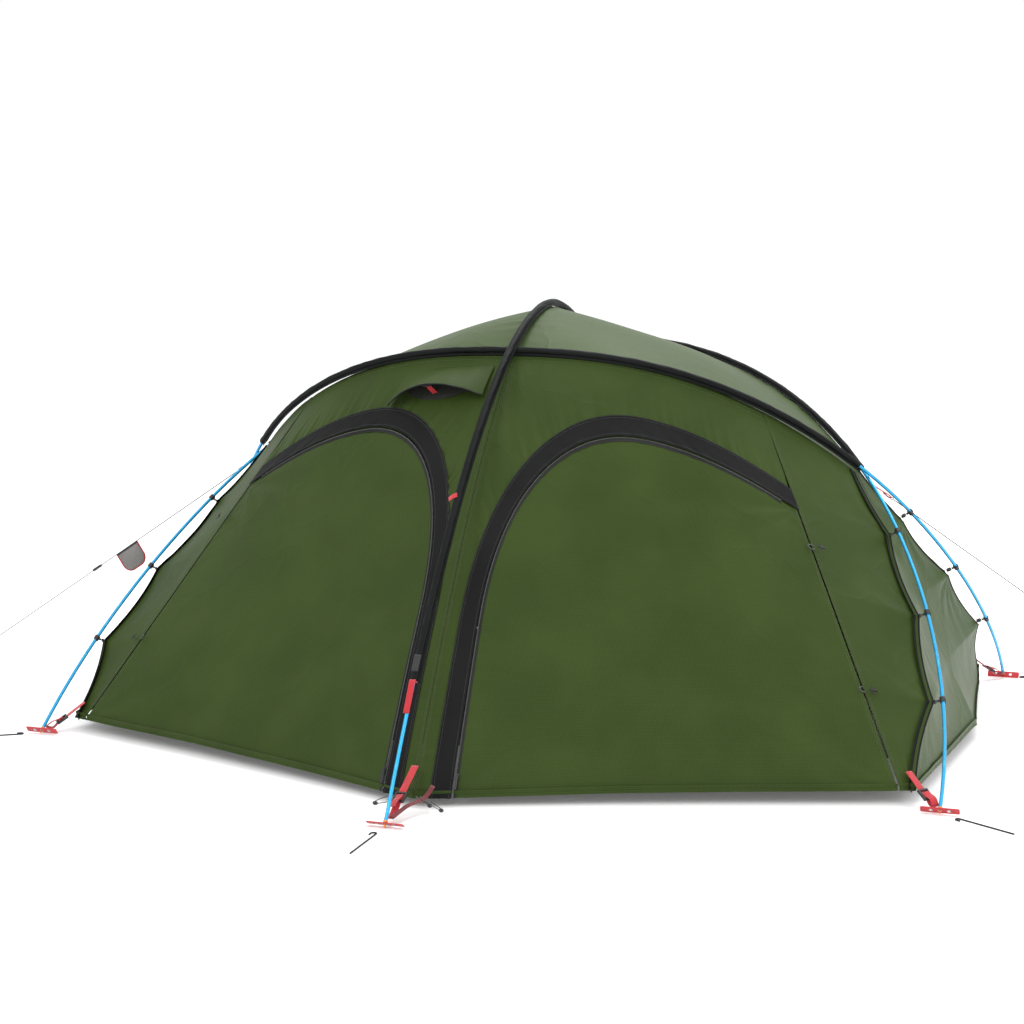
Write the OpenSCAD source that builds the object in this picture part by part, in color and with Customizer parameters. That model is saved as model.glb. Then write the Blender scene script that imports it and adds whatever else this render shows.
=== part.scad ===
// Geodesic tent for two: three bent poles carry a fly with two porches, over an inner tent.
// X runs along the tent, -Y is the front porch, Z is up. The origin is the middle of the ground plan.

/* [Overall] */
// Distance between the left and right feet of the long poles
span_x = 2500; // [2050:10:3000]
// Distance between the front and rear feet of the long poles
span_y = 1560; // [1300:10:1880]
// Distance between the front and rear feet of the cross pole
cross_span = 2620; // [2180:10:3150]
// Height of the middle of the cross pole
apex_h = 1195; // [990:5:1440]
// Distance between the two long poles at the middle of the tent
ridge_w = 670; // [550:10:810]

/* [Poles] */
// Outside diameter of the pole tube
pole_d = 9.5; // [7.9:0.1:11.4]
// Wall of the pole tube
pole_wall = 0.8; // [0.6:0.1:1.2]
// Free space left round the pole in its fabric tunnel
sleeve_free = 3.05; // [2.5:0.05:3.7]
// Number of tube sections in each long pole
long_sections = 10; // [8:2:12]
// Number of tube sections in the cross pole
cross_sections = 9; // [7:2:11]
// Length of the ferrule between two sections
ferrule_l = 50; // [40:5:60]
// Diameter of the shock cord inside the poles
shock_d = 2.4; // [2:0.1:3]
// Length of the pin under each pole tip
pin_l = 18; // [15:1:25]
// Diameter of the pin under each pole tip
pin_d = 5; // [4:0.5:6]

/* [Fly] */
// Thickness of the fly fabric with its coating, as a solid
cloth_t = 1.2; // [1:0.1:2]
// Gap left between sewn neighbours and round moving panels
seam_gap = 0.8; // [0.5:0.1:1.5]
// Distance that the fly's hem stands in from each foot of the cross pole
hem_in = 180; // [140:10:240]
// Height of the fly's hem above the ground
hem_z = 22; // [10:1:60]
// Distance that the fly's corners stand in from the pole feet, along the tent
corner_in = 70; // [50:5:120]
// Width of the storm flap over the zip, as a share of the porch panel
flap_share = 1; // [0.8:0.05:1.2]
// Width of the gap between the door and the flap
door_gap = 3; // [2:0.5:6]
// Height of the ladder of the zip tape
zip_w = 8; // [6:1:12]

/* [Guylines] */
// Distance from the ends of the long poles to each guyline's peg
guy_out = 750; // [600:10:1000]
// Diameter of the guyline
guy_d = 2.5; // [2:0.5:4]
// Length of a peg
peg_l = 160; // [120:5:200]
// Diameter of the peg's wire
peg_d = 4; // [3:0.5:5]

/* [Inner tent] */
// Distance that the floor's ends stand in from the feet of the long poles
floor_in_x = 150; // [120:10:300]
// Distance that the floor's sides stand in from the feet of the long poles
floor_in_y = 240; // [200:10:320]
// Height of the floor's waterproof wall
tub_h = 100; // [60:5:140]
// Half width of the inner door
inner_door_w = 280; // [220:10:320]

/* [Hidden] */

half_x = span_x / 2;
foot_y = span_y / 2;
cross_y = cross_span / 2;
ridge_y = ridge_w / 2;
hem_reach = cross_y - hem_in;
guy_reach = half_x + guy_out;
floor_x = half_x - floor_in_x;
floor_y = foot_y - floor_in_y;
pole_r = pole_d / 2;
sleeve_r = pole_r + sleeve_free + cloth_t;
// The pole's curve ends this high, so that the pin below it just clears the ground
foot_z = pin_l - 1.5;
// A panel hangs this far inside the middle of its pole
hang = sleeve_r + seam_gap + cloth_t;
// The cross pole's height falls away with the distance from the middle to this power
arch_power = 1.85;
// The long poles cross under the cross pole with their tunnels clear of each other
arch_slope = arch_power * (apex_h - foot_z) / cross_y * pow(ridge_y / cross_y, arch_power - 1);
tunnel_gap = 1.2;
long_h = arch_z(ridge_y) - (2 * sleeve_r + tunnel_gap) * sqrt(1 + arch_slope * arch_slope);

function unit(v) = v / norm(v);
function mix(a, b, k) = a + (b - a) * k;
function clamp01(x) = max(0, min(1, x));

// Middle line of the cross pole, from its height law
function arch_z(y) = foot_z + (apex_h - foot_z) * (1 - pow(abs(y) / cross_y, arch_power));
function arch(y) = [0, y, arch_z(y)];
// Middle line of a long pole by its turn a, from -90 at its left foot to 90 at its right foot.
// side is 1 for the pole whose sleeve runs along the front, and -1 for the rear one.
plan_power = 0.82;
side_power = 1.053;
fullness = 0.16;
function long_x(a) = half_x * sign(a) * pow(abs(sin(a)), plan_power);
function long_w(a) = pow(abs(cos(a)), side_power);
function long_z(a) = foot_z + (long_h - foot_z) * long_w(a) * (1 - fullness + fullness * long_w(a));
// Where the long poles cross, the front one is lifted and the rear one lowered, to clear each other
cross_w = foot_y / (foot_y + ridge_y);
cross_turn = acos(pow(cross_w, 1 / side_power));
cross_rise = (long_z(cross_turn - 1) - long_z(cross_turn + 1)) / (long_x(cross_turn + 1) - long_x(cross_turn - 1));
pass_gap = 1.4;
pass_z = (pole_d + pass_gap) * sqrt(1 + cross_rise * cross_rise);
function long_point(a, side) =
  let (w = long_w(a), lift = side * pass_z / 2 * w * (1 - w) / (cross_w * (1 - cross_w)))
  [long_x(a), side * mix(foot_y, -ridge_y, w), long_z(a) + lift];

// A table of [length, parameter] along a path of points
function path_table(p, t, i = 0, s = 0) =
  i == len(p) - 1 ? [[s, t[i]]]
  : concat([[s, t[i]]], path_table(p, t, i + 1, s + norm(p[i + 1] - p[i])));
long_steps = [for (i = [0:90]) -90 + 2 * i];
long_table = path_table([for (a = long_steps) long_point(a, 1)], long_steps);
long_total = long_table[len(long_table) - 1][0];
function long_turn(s) = lookup(s * long_total, long_table);
arch_steps = [for (i = [0:80]) mix(-cross_y, cross_y, (1 - cos(i * 180 / 80)) / 2)];
arch_table = path_table([for (y = arch_steps) arch(y)], arch_steps);
arch_total = arch_table[len(arch_table) - 1][0];
function arch_turn(s) = lookup(s * arch_total, arch_table);

function pole_point(kind, s) = kind == 0 ? arch(arch_turn(s)) : long_point(long_turn(s), kind);
function pole_tangent(kind, s) =
  let (e = 0.0005) unit(pole_point(kind, min(1, s + e)) - pole_point(kind, max(0, s - e)));
middle = [0, 0, 300];
// Direction out of the tent, square to the direction t
function outward(p, t) = let (d = p - middle) unit(d - (d * t) * t);
function pole_out(kind, s) = outward(pole_point(kind, s), pole_tangent(kind, s));

// Rigid placement with its Y axis along t, its Z axis as near to n as can be, and its origin at o
module place(o, t, n) {
  y = unit(t);
  z = unit(n - (n * y) * y);
  x = cross(y, z);
  multmatrix([[x.x, y.x, z.x, o.x], [x.y, y.y, z.y, o.y], [x.z, y.z, z.z, o.z], [0, 0, 0, 1]]) children();
}

// A round bar or tube along the arc through three points, short of both ends by gap
module arc_bar(a, m, b, ro, ri, gap = 0.2) {
  ab = b - a;
  am = m - a;
  n = cross(am, ab);
  c = a + (cross(n, am) * (ab * ab) + cross(ab, n) * (am * am)) / (2 * (n * n));
  r = norm(a - c);
  z = unit(cross(a - c, b - c));
  x = unit(a - c);
  y = cross(z, x);
  turn = acos((a - c) * (b - c) / (r * r));
  g = gap / r * 180 / PI;
  multmatrix([[x.x, y.x, z.x, c.x], [x.y, y.y, z.y, c.y], [x.z, y.z, z.z, c.z], [0, 0, 0, 1]])
    rotate([0, 0, g]) rotate_extrude(angle = turn - 2 * g, $fn = 90) translate([r, 0])
      difference() {
        circle(ro, $fn = 24);
        if (ri > 0) circle(ri, $fn = 24);
      }
}
module pole_run(kind, from, to, count, ro, ri, gap = 0.2) {
  for (i = [0:count - 1])
    arc_bar(pole_point(kind, mix(from, to, i / count)), pole_point(kind, mix(from, to, (i + 0.5) / count)),
      pole_point(kind, mix(from, to, (i + 1) / count)), ro, ri, gap);
}
function sections(kind) = kind == 0 ? cross_sections : long_sections;

// A closed sheet of cloth from a grid of outer points, with its thickness towards the inside
module sheet(grid, t = cloth_t) {
  rows = len(grid);
  cols = len(grid[0]);
  outer = [for (r = grid) for (p = r) p];
  inner = [for (p = outer) p - t * unit(p - middle)];
  n = rows * cols;
  function id(i, j) = i * cols + j;
  polyhedron(points = concat(outer, inner), faces = concat(
    [for (i = [0:rows - 2]) for (j = [0:cols - 2]) each
      [[id(i, j), id(i, j + 1), id(i + 1, j + 1)], [id(i, j), id(i + 1, j + 1), id(i + 1, j)]]],
    [for (i = [0:rows - 2]) for (j = [0:cols - 2]) each
      [[n + id(i, j), n + id(i + 1, j + 1), n + id(i, j + 1)], [n + id(i, j), n + id(i + 1, j),
          n + id(i + 1, j + 1)]]],
    [for (j = [0:cols - 2]) each [[id(0, j), n + id(0, j + 1), id(0, j + 1)], [id(0, j), n + id(0, j),
        n + id(0, j + 1)],
      [id(rows - 1, j), id(rows - 1, j + 1), n + id(rows - 1, j + 1)],
      [id(rows - 1, j), n + id(rows - 1, j + 1), n + id(rows - 1, j)]]],
    [for (i = [0:rows - 2]) each [[id(i, 0), id(i + 1, 0), n + id(i + 1, 0)], [id(i, 0), n + id(i + 1,
        0), n + id(i, 0)],
      [id(i, cols - 1), n + id(i + 1, cols - 1), id(i + 1, cols - 1)],
      [id(i, cols - 1), n + id(i, cols - 1), n + id(i + 1, cols - 1)]]]));
}

// Edges of the fly in the quarter where X is positive and Y is negative.
// Each hangs just inside the middle of its pole, and all are as low as the lower long pole needs.
function low_pole(a) = let (p = long_point(a, -1)) [p.x, -p.y, p.z];
function front_edge(u) =
  let (a = asin(pow(u, 1 / plan_power)), p = low_pole(a), t = unit(low_pole(a + 0.1) - low_pole(a - 0.1)))
  p - hang * outward(p, t);
function arch_edge(y) =
  let (t = unit(arch(y - 1) - arch(y + 1))) arch(y) - hang * outward(arch(y), t);
hem_point = [seam_gap / 2, -hem_reach, hem_z];
corner = [half_x - corner_in, -foot_y + 60, hem_z + 16];
seam_top_u = 0.54;
seam_foot_u = 0.97;
sleeve_end_u = 0.725;
hinge_foot = mix(hem_point, corner, seam_foot_u);
hinge_top = front_edge(seam_top_u);
crown = front_edge(0) + [seam_gap / 2, 0, 0];
// Porch surface: u runs from the cross pole to the hinge seam, and v from the hem to the sleeve
function porch(u, v) =
  let (y = -mix(hem_reach, ridge_y, v),
       left = arch_edge(y) + [seam_gap / 2, 0, 0] + (hem_point - arch_edge(-hem_reach) - [seam_gap / 2,
           0, 0]) * (1 - v)
         + (crown - arch_edge(-ridge_y) - [seam_gap / 2, 0, 0]) * pow(v, 6),
       right = mix(hinge_foot, hinge_top, v),
       low = mix(hem_point, hinge_foot, u),
       top = front_edge(max(0.0001, seam_top_u * u)) + (crown - front_edge(0)) * (1 - u))
  (1 - u) * left + u * right + (1 - v) * low + v * top
    - ((1 - u) * (1 - v) * hem_point + u * (1 - v) * hinge_foot + (1 - u) * v * crown + u * v * hinge_top);
function raised(p, h) = p + h * unit(p - middle);

// The zip climbs beside the cross pole, turns over and falls to the hinge seam.
// k is 0 at the zip and 1 at the flap's sewn edge, and t runs from the hem to the tip.
knee_v = 0.30;
turn_u = 0.56;
function zip_uv(t, k) =
  let (foot_u = mix(0.078, 0.033, k), top_v = mix(0.785, 0.843, k), tip_v = mix(0.72, 0.78, k),
       a = clamp01((t - 0.35) / 0.4) * 90, s = clamp01((t - 0.75) / 0.25))
  t < 0.35 ? [foot_u, knee_v * t / 0.35]
  : t < 0.75 ? [turn_u - (turn_u - foot_u) * pow(cos(a), 0.87), knee_v + (top_v - knee_v) * pow(sin(a),
      0.87)]
  : [mix(turn_u, 1, s), top_v - (top_v - tip_v) * s * s];
// Outer border of the surround, opposite the zip
function border_uv(t) =
  t < 0.35 ? [0, knee_v * t / 0.35]
  : t < 0.55 ? [0, mix(knee_v, 1, (t - 0.35) / 0.2)]
  : t < 0.75 ? [turn_u * (t - 0.55) / 0.2, 1]
  : [mix(turn_u, 1, (t - 0.75) / 0.25), 1];
function porch_uv(q) = porch(q.x, q.y);
zip_steps = [0, 0.12, 0.24, 0.35, 0.38, 0.42, 0.47, 0.52, 0.57, 0.62, 0.67, 0.71, 0.75, 0.81, 0.87,
    0.93, 0.985];
// Shares of the flap's width that make the gaps beside the door
gap_k = door_gap / 50;
tip_t = 0.985;

module quarter(left, rear) {
  mirror([left ? 1 : 0, 0, 0]) mirror([0, rear ? 1 : 0, 0]) children();
}
module surround_panel() {
  color("darkolivegreen") sheet([for (t = concat(zip_steps, [1])) [for (j = [0:3])
    porch_uv(mix(border_uv(t), zip_uv(t, 0), j / 3))]]);
}
module storm_flap() {
  color("#2d2d2f") sheet([for (t = concat(zip_steps, [1])) [for (j = [0:2])
    raised(porch_uv(zip_uv(t, flap_share * (1 - j / 2))), cloth_t + seam_gap)]], cloth_t);
}
module door_panel() {
  color("darkolivegreen") sheet([for (t = zip_steps)
    let (q = zip_uv(t, -gap_k), tip = zip_uv(tip_t, -gap_k).y, seam = [0.997, tip * t / tip_t - 0.004 * t])
    [for (j = [0:5]) porch_uv(mix(q + [0.001, 0], seam, j / 5))]]);
}
module zip_tape() {
  color("black") sheet([for (t = [for (s = zip_steps) if (s < 0.98) s]) [for (j = [0:1])
    raised(porch_uv(zip_uv(t, -gap_k - 0.02 - j * zip_w / 50)), cloth_t + 1.4)]], cloth_t);
}

// The fly's edge along a leg of a long pole, in scallops between its tabs
clip_s = [0.207, 0.142, 0.077];
tab_drop = pole_r + 19.25;
scallop = 20;
function leg_pole(s) = let (p = pole_point(-1, 1 - s)) p;
function tab_point(i) = let (p = leg_pole(clip_s[i])) p - tab_drop * pole_out(-1, 1 - clip_s[i]);
ridge_anchors = concat([front_edge(sleeve_end_u)], [for (i = [0:2]) tab_point(i)], [corner]);
function ridge(f) =
  let (n = len(ridge_anchors) - 1, i = min(n - 1, floor(f * n)), g = f * n - i,
       a = ridge_anchors[i], b = ridge_anchors[i + 1], p = mix(a, b, g))
  p - (i == 0 ? 0.4 : 1) * scallop * 4 * g * (1 - g) * unit(p - [0, 0, 100]);
ridge_steps = [for (i = [0:16]) i / 16];
module leg_panel() {
  color("darkolivegreen") sheet([for (f = ridge_steps)
    let (a = mix(hinge_top, hinge_foot, f) + [seam_gap * 2, 0, 0], b = ridge(f) - [0, seam_gap, 0],
         top = front_edge(seam_top_u + 0.01 + (sleeve_end_u - seam_top_u - 0.01) * 0.5) - mix(a, b, 0.5))
    [for (j = [0:4]) mix(a, b, j / 4) + (f == 0 ? 4 * (j / 4) * (1 - j / 4) * top : [0, 0, 0])]]);
}
end_foot = [half_x + 3, 0, hem_z + 16];
end_top = [front_edge(sleeve_end_u).x, 0, front_edge(sleeve_end_u).z];
module end_panel() {
  color("darkseagreen") sheet([for (f = ridge_steps)
    let (c = mix(end_top, end_foot, f), a = ridge(f) + [0, seam_gap, 0], b = [a.x, -a.y, a.z])
    [for (j = [0:6]) j < 3 ? mix(a, c, j / 3) : mix(c, b, (j - 3) / 3)]]);
}
module roof_half() {
  rise = apex_h - hang - front_edge(0).z;
  color("darkseagreen") sheet([for (i = [0:12])
    let (u = sleeve_end_u * i / 12, e = front_edge(max(0.0001, u)) + [max(0, 1 - i) * seam_gap / 2,
        1.2 * seam_gap, 0])
    [for (j = [0:8])
      let (k = j / 4 - 1)
      [e.x, -e.y * k, e.z + rise * pow(1 - i / 12, 2) * (1 - pow(abs(k), 1.7))]]]);
}

// Sleeves: fabric tunnels round the poles
long_sleeve_s = [0.262, 0.738];
cross_sleeve_s = [0.098, 0.902];
module long_sleeve(kind) {
  color("#19191c") pole_run(kind, long_sleeve_s[0], long_sleeve_s[1], 5, sleeve_r, sleeve_r - cloth_t, 0.6);
}
module cross_sleeve() {
  color("#19191c") pole_run(0, cross_sleeve_s[0], cross_sleeve_s[1], 9, sleeve_r, sleeve_r - cloth_t, 0.6);
}

module poles(kind) {
  color("deepskyblue") pole_run(kind, 0, 1, sections(kind), pole_r, pole_r - pole_wall);
}
ferrule_gap = 0.85;
ferrule_wall = 0.7;
ferrule_r = pole_r - pole_wall - ferrule_gap;
module pole_ferrules() {
  color("silver") for (kind = [-1, 0, 1]) for (i = [1:sections(kind) - 1]) {
    // A straight ferrule lies midway between the bent pole and the chord under it
    s = i / sections(kind);
    reach = ferrule_l / 2 / (kind == 0 ? arch_total : long_total);
    a = pole_point(kind, s - reach);
    b = pole_point(kind, s + reach);
    place(mix((a + b) / 2, pole_point(kind, s), 0.5), b - a, pole_out(kind, s)) rotate([90, 0, 0])
      difference() {
        cylinder(h = ferrule_l, r = ferrule_r, center = true, $fn = 24);
        cylinder(h = ferrule_l + 1, r = ferrule_r - ferrule_wall, center = true, $fn = 24);
      }
  }
}
module shock_cords() {
  color("black") for (kind = [-1, 0, 1]) pole_run(kind, 0, 1, sections(kind), shock_d / 2, 0, 0.1);
}

// Feet: every pole ends in a tip whose pin stands in the grommet of a webbing crossbar
feet = [for (kind = [-1, 0, 1]) for (e = [0, 1]) [pole_point(kind, e),
    (e == 0 ? -1 : 1) * pole_tangent(kind, e)]];
tip_r = pole_r + 1.2;
web_w = 20;
web_t = 2;
module at_foot(i) {
  // Y points down the pole
  place(feet[i][0], feet[i][1], [0, 0, 1]) children();
}
module pole_tips() {
  color("darkorange") for (i = [0:5]) at_foot(i) rotate([-90, 0, 0]) union() {
    translate([0, 0, 0.3]) cylinder(h = 4, r = tip_r, $fn = 32);
    cylinder(h = pin_l - 1, r = pin_d / 2, $fn = 32);
  }
}
grommet_at = 7;
module crossbars() {
  color("crimson") for (i = [0:5]) at_foot(i) rotate([-90, 0, 0]) translate([0, 0, grommet_at])
    difference() {
      translate([-48, -web_w / 2, 0]) cube([96, web_w, web_t]);
      for (x = [-22, 0, 22]) translate([x, 0, -1]) cylinder(h = web_t + 2, r = 5.2, $fn = 32);
    }
}
module grommets() {
  color("silver") for (i = [0:5]) at_foot(i) rotate([-90, 0, 0]) for (x = [-22, 0, 22])
    translate([x, 0, grommet_at - 0.6]) difference() {
      cylinder(h = web_t + 1.2, r = 5, $fn = 32);
      translate([0, 0, -1]) cylinder(h = web_t + 4, r = pin_d / 2 + 0.4, $fn = 32);
    }
}

// A flat bar of webbing from a to b, with its face turned to n
module webbing(a, b, w, t, n) {
  place(a, b - a, n) translate([-w / 2, 0, -t / 2]) cube([w, norm(b - a), t]);
}
// Corners of the fly that a foot's strap pulls on
function strap_start(i) = let (f = feet[i][0]) i == 2 || i == 3 ? [0, sign(f.y) * (hem_reach + 22), 80]
  : [sign(f.x) * (corner.x + 8), sign(f.y) * (-corner.y + 6), corner.z + 16];
function strap_end(i) = let (f = feet[i][0], s = strap_start(i)) f + 26 * unit([s.x - f.x, s.y - f.y,
    0]) + [0, 0, 2];
buckle_l = 34;
function strap_mid(i) = mix(strap_end(i), strap_start(i), 0.5);
function strap_dir(i) = unit(strap_start(i) - strap_end(i));
module foot_straps() {
  color("crimson") for (i = [0:5]) {
    d = strap_dir(i);
    webbing(strap_end(i), strap_mid(i) - d * (buckle_l / 2 + 0.5), web_w, web_t, [0, 0, 1]);
    webbing(strap_mid(i) + d * (buckle_l / 2 + 0.5), strap_start(i), web_w, web_t, [0, 0, 1]);
  }
}
module ladder_buckles() {
  color("#222222") for (i = [0:5]) place(strap_mid(i), strap_dir(i), [0, 0, 1])
    difference() {
      translate([-15, -buckle_l / 2, -3]) cube([30, buckle_l, 6]);
      for (y = [-12.5, -3.5, 5.5]) translate([-11, y, -4]) cube([22, 7, 8]);
    }
}

// Clips that snap on the legs of the long poles, with a ring each to the fly
clip_in = pole_r + 0.3;
clip_out = pole_r + 3;
// The eye on each clip, and the ring that passes through it
clip_eye = 2.6;
clip_eye_w = 2.4;
ring_r = 3.2;
ring_wire = 0.9;
module on_legs() {
  for (kind = [-1, 1]) for (e = [0, 1]) for (i = [0:2]) {
    s = e == 0 ? clip_s[i] : 1 - clip_s[i];
    place(pole_point(kind, s), pole_tangent(kind, s), -pole_out(kind, s)) children();
  }
}
module pole_clips() {
  color("#151515") on_legs() difference() {
    union() {
      rotate([90, 0, 0]) cylinder(h = 14, r = clip_out, center = true, $fn = 32);
      translate([-clip_eye_w / 2, -3, clip_out - 1.5]) cube([clip_eye_w, 6, 7]);
    }
    rotate([90, 0, 0]) cylinder(h = 20, r = clip_in, center = true, $fn = 32);
    translate([-3.4, -10, -12]) cube([6.8, 20, 12]);
    translate([0, 0, clip_out + clip_eye]) rotate([0, 90, 0]) cylinder(h = 20, r = 1.6, center = true,
        $fn = 24);
  }
}
module clip_rings() {
  color("#303030") on_legs() translate([0, 0, clip_out + clip_eye + ring_r]) rotate([90, 0, 0])
    rotate_extrude($fn = 48) translate([ring_r, 0]) circle(ring_wire, $fn = 16);
}
module clip_tabs() {
  low = clip_out + clip_eye + 2 * ring_r + ring_wire + 0.4;
  color("black") on_legs() translate([-5, -1, low]) cube([10, 2, tab_drop - 1 - low]);
}

// Vent hoods stand off the porch beside the cross sleeve, under the long sleeve
hood_u = [0.06, 0.44];
hood_v = [0.945, 0.83];
hood_rise = 65;
function hood_point(i, j) =
  let (u = mix(hood_u[0], hood_u[1], i / 8), k = j / 4)
  raised(porch(u, mix(hood_v[0], hood_v[1], k)), 4 + hood_rise * k * sin(180 * mix(0.06, 0.94, i / 8)));
module vent_hood() {
  color("darkolivegreen") sheet([for (j = [0:4]) [for (i = [0:8]) hood_point(i, j)]]);
  a = raised(porch(0.27, 0.865), 3);
  b = hood_point(4.4, 3.4) - 4 * unit(hood_point(4.4, 3.4) - middle);
  color("crimson") webbing(a, b, 14, 2, [1, 0, 0]);
}

// Zip sliders ride on the straight foot of each zip
slide_low = 0.035;
slider_rise = 4.7;
function slide_point(v) = raised(porch(zip_uv(0, -gap_k - 0.02 - zip_w / 100).x, v), cloth_t + slider_rise);
module zip_slider() {
  p = slide_point(slide_low);
  t = slide_point(knee_v * 0.8) - slide_point(slide_low);
  color("gray") place(p, t, p - middle) union() {
    translate([-5, -8, 0]) cube([10, 16, 4]);
    translate([-2, -4, 4]) cube([4, 8, 3]);
    translate([-4, -34, 5]) cube([8, 34, 1.6]);
  }
}
// Toggle and loop pairs on the hinge seam hold a rolled door
toggle_v = [0.62, 0.25];
toggle_x = 21;
toggle_rise = 7;
module door_toggles() {
  color("#222222") for (l = [0, 1]) for (r = [0, 1]) quarter(l == 1, r == 1) for (v = toggle_v) {
    p = raised(mix(hinge_foot, hinge_top, v) + [toggle_x, 0, 0], toggle_rise);
    place(p, hinge_top - hinge_foot, p - middle) union() {
      rotate([0, 90, 0]) cylinder(h = 26, r = 3, center = true, $fn = 24);
      translate([-1.5, -12, -1]) cube([3, 24, 2]);
    }
  }
}

// Guylines pull from webbing tabs where the long poles cross
// The tab starts in the fork under the crossing, clear of both poles
fork_way = unit([1, 0, -cross_rise]);
fork_out = [-fork_way.z, 0, fork_way.x];
fork_drop = 3.2 * pole_d;
fork_in = 0.385 * pass_z;
tab_start = [long_x(cross_turn), 0, long_z(cross_turn)] + fork_drop * fork_way - fork_in * fork_out;
guy_end = [guy_reach - 14, 0, 9];
guy_way = unit(guy_end - tab_start);
guy_tab_l = 64;
guy_start = tab_start + guy_tab_l * guy_way;
module guy_tabs() {
  color("crimson") for (s = [0, 1]) mirror([s, 0, 0]) {
    webbing(tab_start, guy_start - 10 * guy_way, 15, web_t, [0, 0, 1]);
    place(guy_start - 5 * guy_way, [0, 1, 0], guy_way) rotate([90, 0, 0]) rotate_extrude($fn = 48)
      translate([3.4, 0]) circle(ring_wire, $fn = 16);
  }
}
guy_rings = 36;
module guyline() {
  color("silver") {
    steps = [for (i = [0:guy_rings - 1]) mix(guy_start, guy_end, i / (guy_rings - 1))];
    x = [0, 1, 0];
    z = cross(guy_way, x);
    points = [for (p = steps) for (a = [0:45:315]) p + guy_d / 2 * (cos(a) * x + sin(a) * z)];
    polyhedron(points = points, faces = concat(
      [for (i = [0:guy_rings - 2]) for (j = [0:7]) each [
        [i * 8 + j, i * 8 + (j + 1) % 8, (i + 1) * 8 + (j + 1) % 8],
        [i * 8 + j, (i + 1) * 8 + (j + 1) % 8, (i + 1) * 8 + j]]],
      [[for (j = [7:-1:0]) j]], [[for (j = [0:7]) (guy_rings - 1) * 8 + j]]));
  }
}
lock_at = 0.51;
module line_lock() {
  color("#1a1a1a") place(mix(guy_start, guy_end, lock_at), guy_way, [0, 0, 1]) difference() {
    translate([-7, -15, -3.5]) cube([14, 30, 7]);
    rotate([90, 0, 0]) cylinder(h = 40, r = guy_d / 2 + 0.5, center = true, $fn = 24);
    translate([-4, 4, -5]) cube([8, 7, 10]);
  }
}
// Mesh pouch that stows the spare guyline, hung under the left line
pouch_w = 85;
pouch_h = 68;
pouch_t = 8;
pouch_bend = 27;
pouch_at = 0.4;
module guy_pouch() {
  color("gray") mirror([1, 0, 0]) place(mix(guy_start, guy_end, pouch_at) - [0, 0, guy_d / 2 + 1.5],
      guy_way, [0, 0, 1])
    rotate([90, 0, 90]) linear_extrude(pouch_t, center = true) union() {
      translate([-pouch_w / 2, -pouch_h + pouch_bend]) square([pouch_w, pouch_h - pouch_bend]);
      intersection() {
        translate([0, pouch_w / 2 - pouch_h]) circle(pouch_w / 2, $fn = 48);
        translate([-pouch_w / 2, -pouch_h - 1]) square([pouch_w, pouch_bend + 2]);
      }
    }
}
// Wire pegs lie on the ground, each hooked on its loop
module peg() {
  color("#202020") rotate([-90, 0, 0]) union() {
    cylinder(h = peg_l, r = peg_d / 2, $fn = 24);
    translate([7, 0, 0]) rotate([90, 180, 0]) rotate_extrude(angle = 180, $fn = 48) translate([7,
        0]) circle(peg_d / 2, $fn = 24);
    translate([14, 0, 0]) cylinder(h = 10, r = peg_d / 2, $fn = 24);
  }
}
module guy_pegs() {
  for (s = [0, 1]) mirror([s, 0, 0]) translate([guy_reach, 0, peg_d / 2 + 0.2]) rotate([0, 0, -90]) peg();
}
module foot_pegs() {
  for (i = [0:5]) {
    f = feet[i][0];
    a = atan2(f.y, f.x);
    translate([f.x, f.y, 0] + 62 * [cos(a), sin(a), 0] + [0, 0, peg_d / 2 + 0.2]) rotate([0, 0,
        a - 90]) peg();
  }
}

// Inner tent: each level is [height, half length, half length of the long sides, half width],
// as shares of the tent's height and of the floor
wall_top = [0.5749 * long_h, 0.77, 0.6, 0.6];
levels = [
  [tub_h + 2, floor_x, floor_x - 90, floor_y],
  [mix(tub_h + 2, wall_top[0], 0.5), floor_x * 0.9, floor_x * 0.78, floor_y * (1 + wall_top[3]) / 2],
  [wall_top[0], floor_x * wall_top[1], floor_x * wall_top[2], floor_y * wall_top[3]],
  [long_h * 0.7876, floor_x * 0.58, floor_x * 0.42, floor_y * 0.37],
  [long_h * 0.9272, floor_x * 0.42, floor_x * 0.33, floor_y * 0.17],
  [long_h * 0.9737, floor_x * 0.36, floor_x * 0.31, 2]];
door_levels = 2;
module inner_floor() {
  l = levels[0];
  outline = [[-l[1], 0], [-l[2], -l[3]], [l[2], -l[3]], [l[1], 0], [l[2], l[3]], [-l[2], l[3]]];
  color("dimgray") difference() {
    linear_extrude(tub_h + 1) polygon(outline);
    translate([0, 0, 2]) linear_extrude(tub_h) polygon([for (p = outline) [p.x * 0.997, p.y * 0.994]]);
  }
}
module inner_canopy() {
  color("khaki") {
    for (s = [0, 1]) mirror([s, 0, 0]) sheet([for (l = levels)
      [for (p = [[inner_door_w, -l[3]], [l[2], -l[3]], [l[1], 0], [l[2], l[3]], [inner_door_w, l[3]]])
        [p.x, p.y, l[0]]]]);
    top = [for (i = [door_levels:len(levels) - 1]) levels[i]];
    n = len(top);
    sheet([for (x = [-inner_door_w + seam_gap, inner_door_w - seam_gap])
      [for (i = [0:2 * n - 1]) i < n ? [x, top[i][3], top[i][0]] : [x, -top[2 * n - 1 - i][3],
          top[2 * n - 1 - i][0]]]]);
  }
}
module inner_door() {
  color("wheat") sheet([for (i = [0:door_levels])
    let (l = levels[i], z = l[0] + (i == 0 ? 3 : i == door_levels ? -4 : 0))
    [for (x = [-1, -0.4, 0.4, 1]) [x * (inner_door_w - 4), -l[3], z]]]);
}

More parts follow.
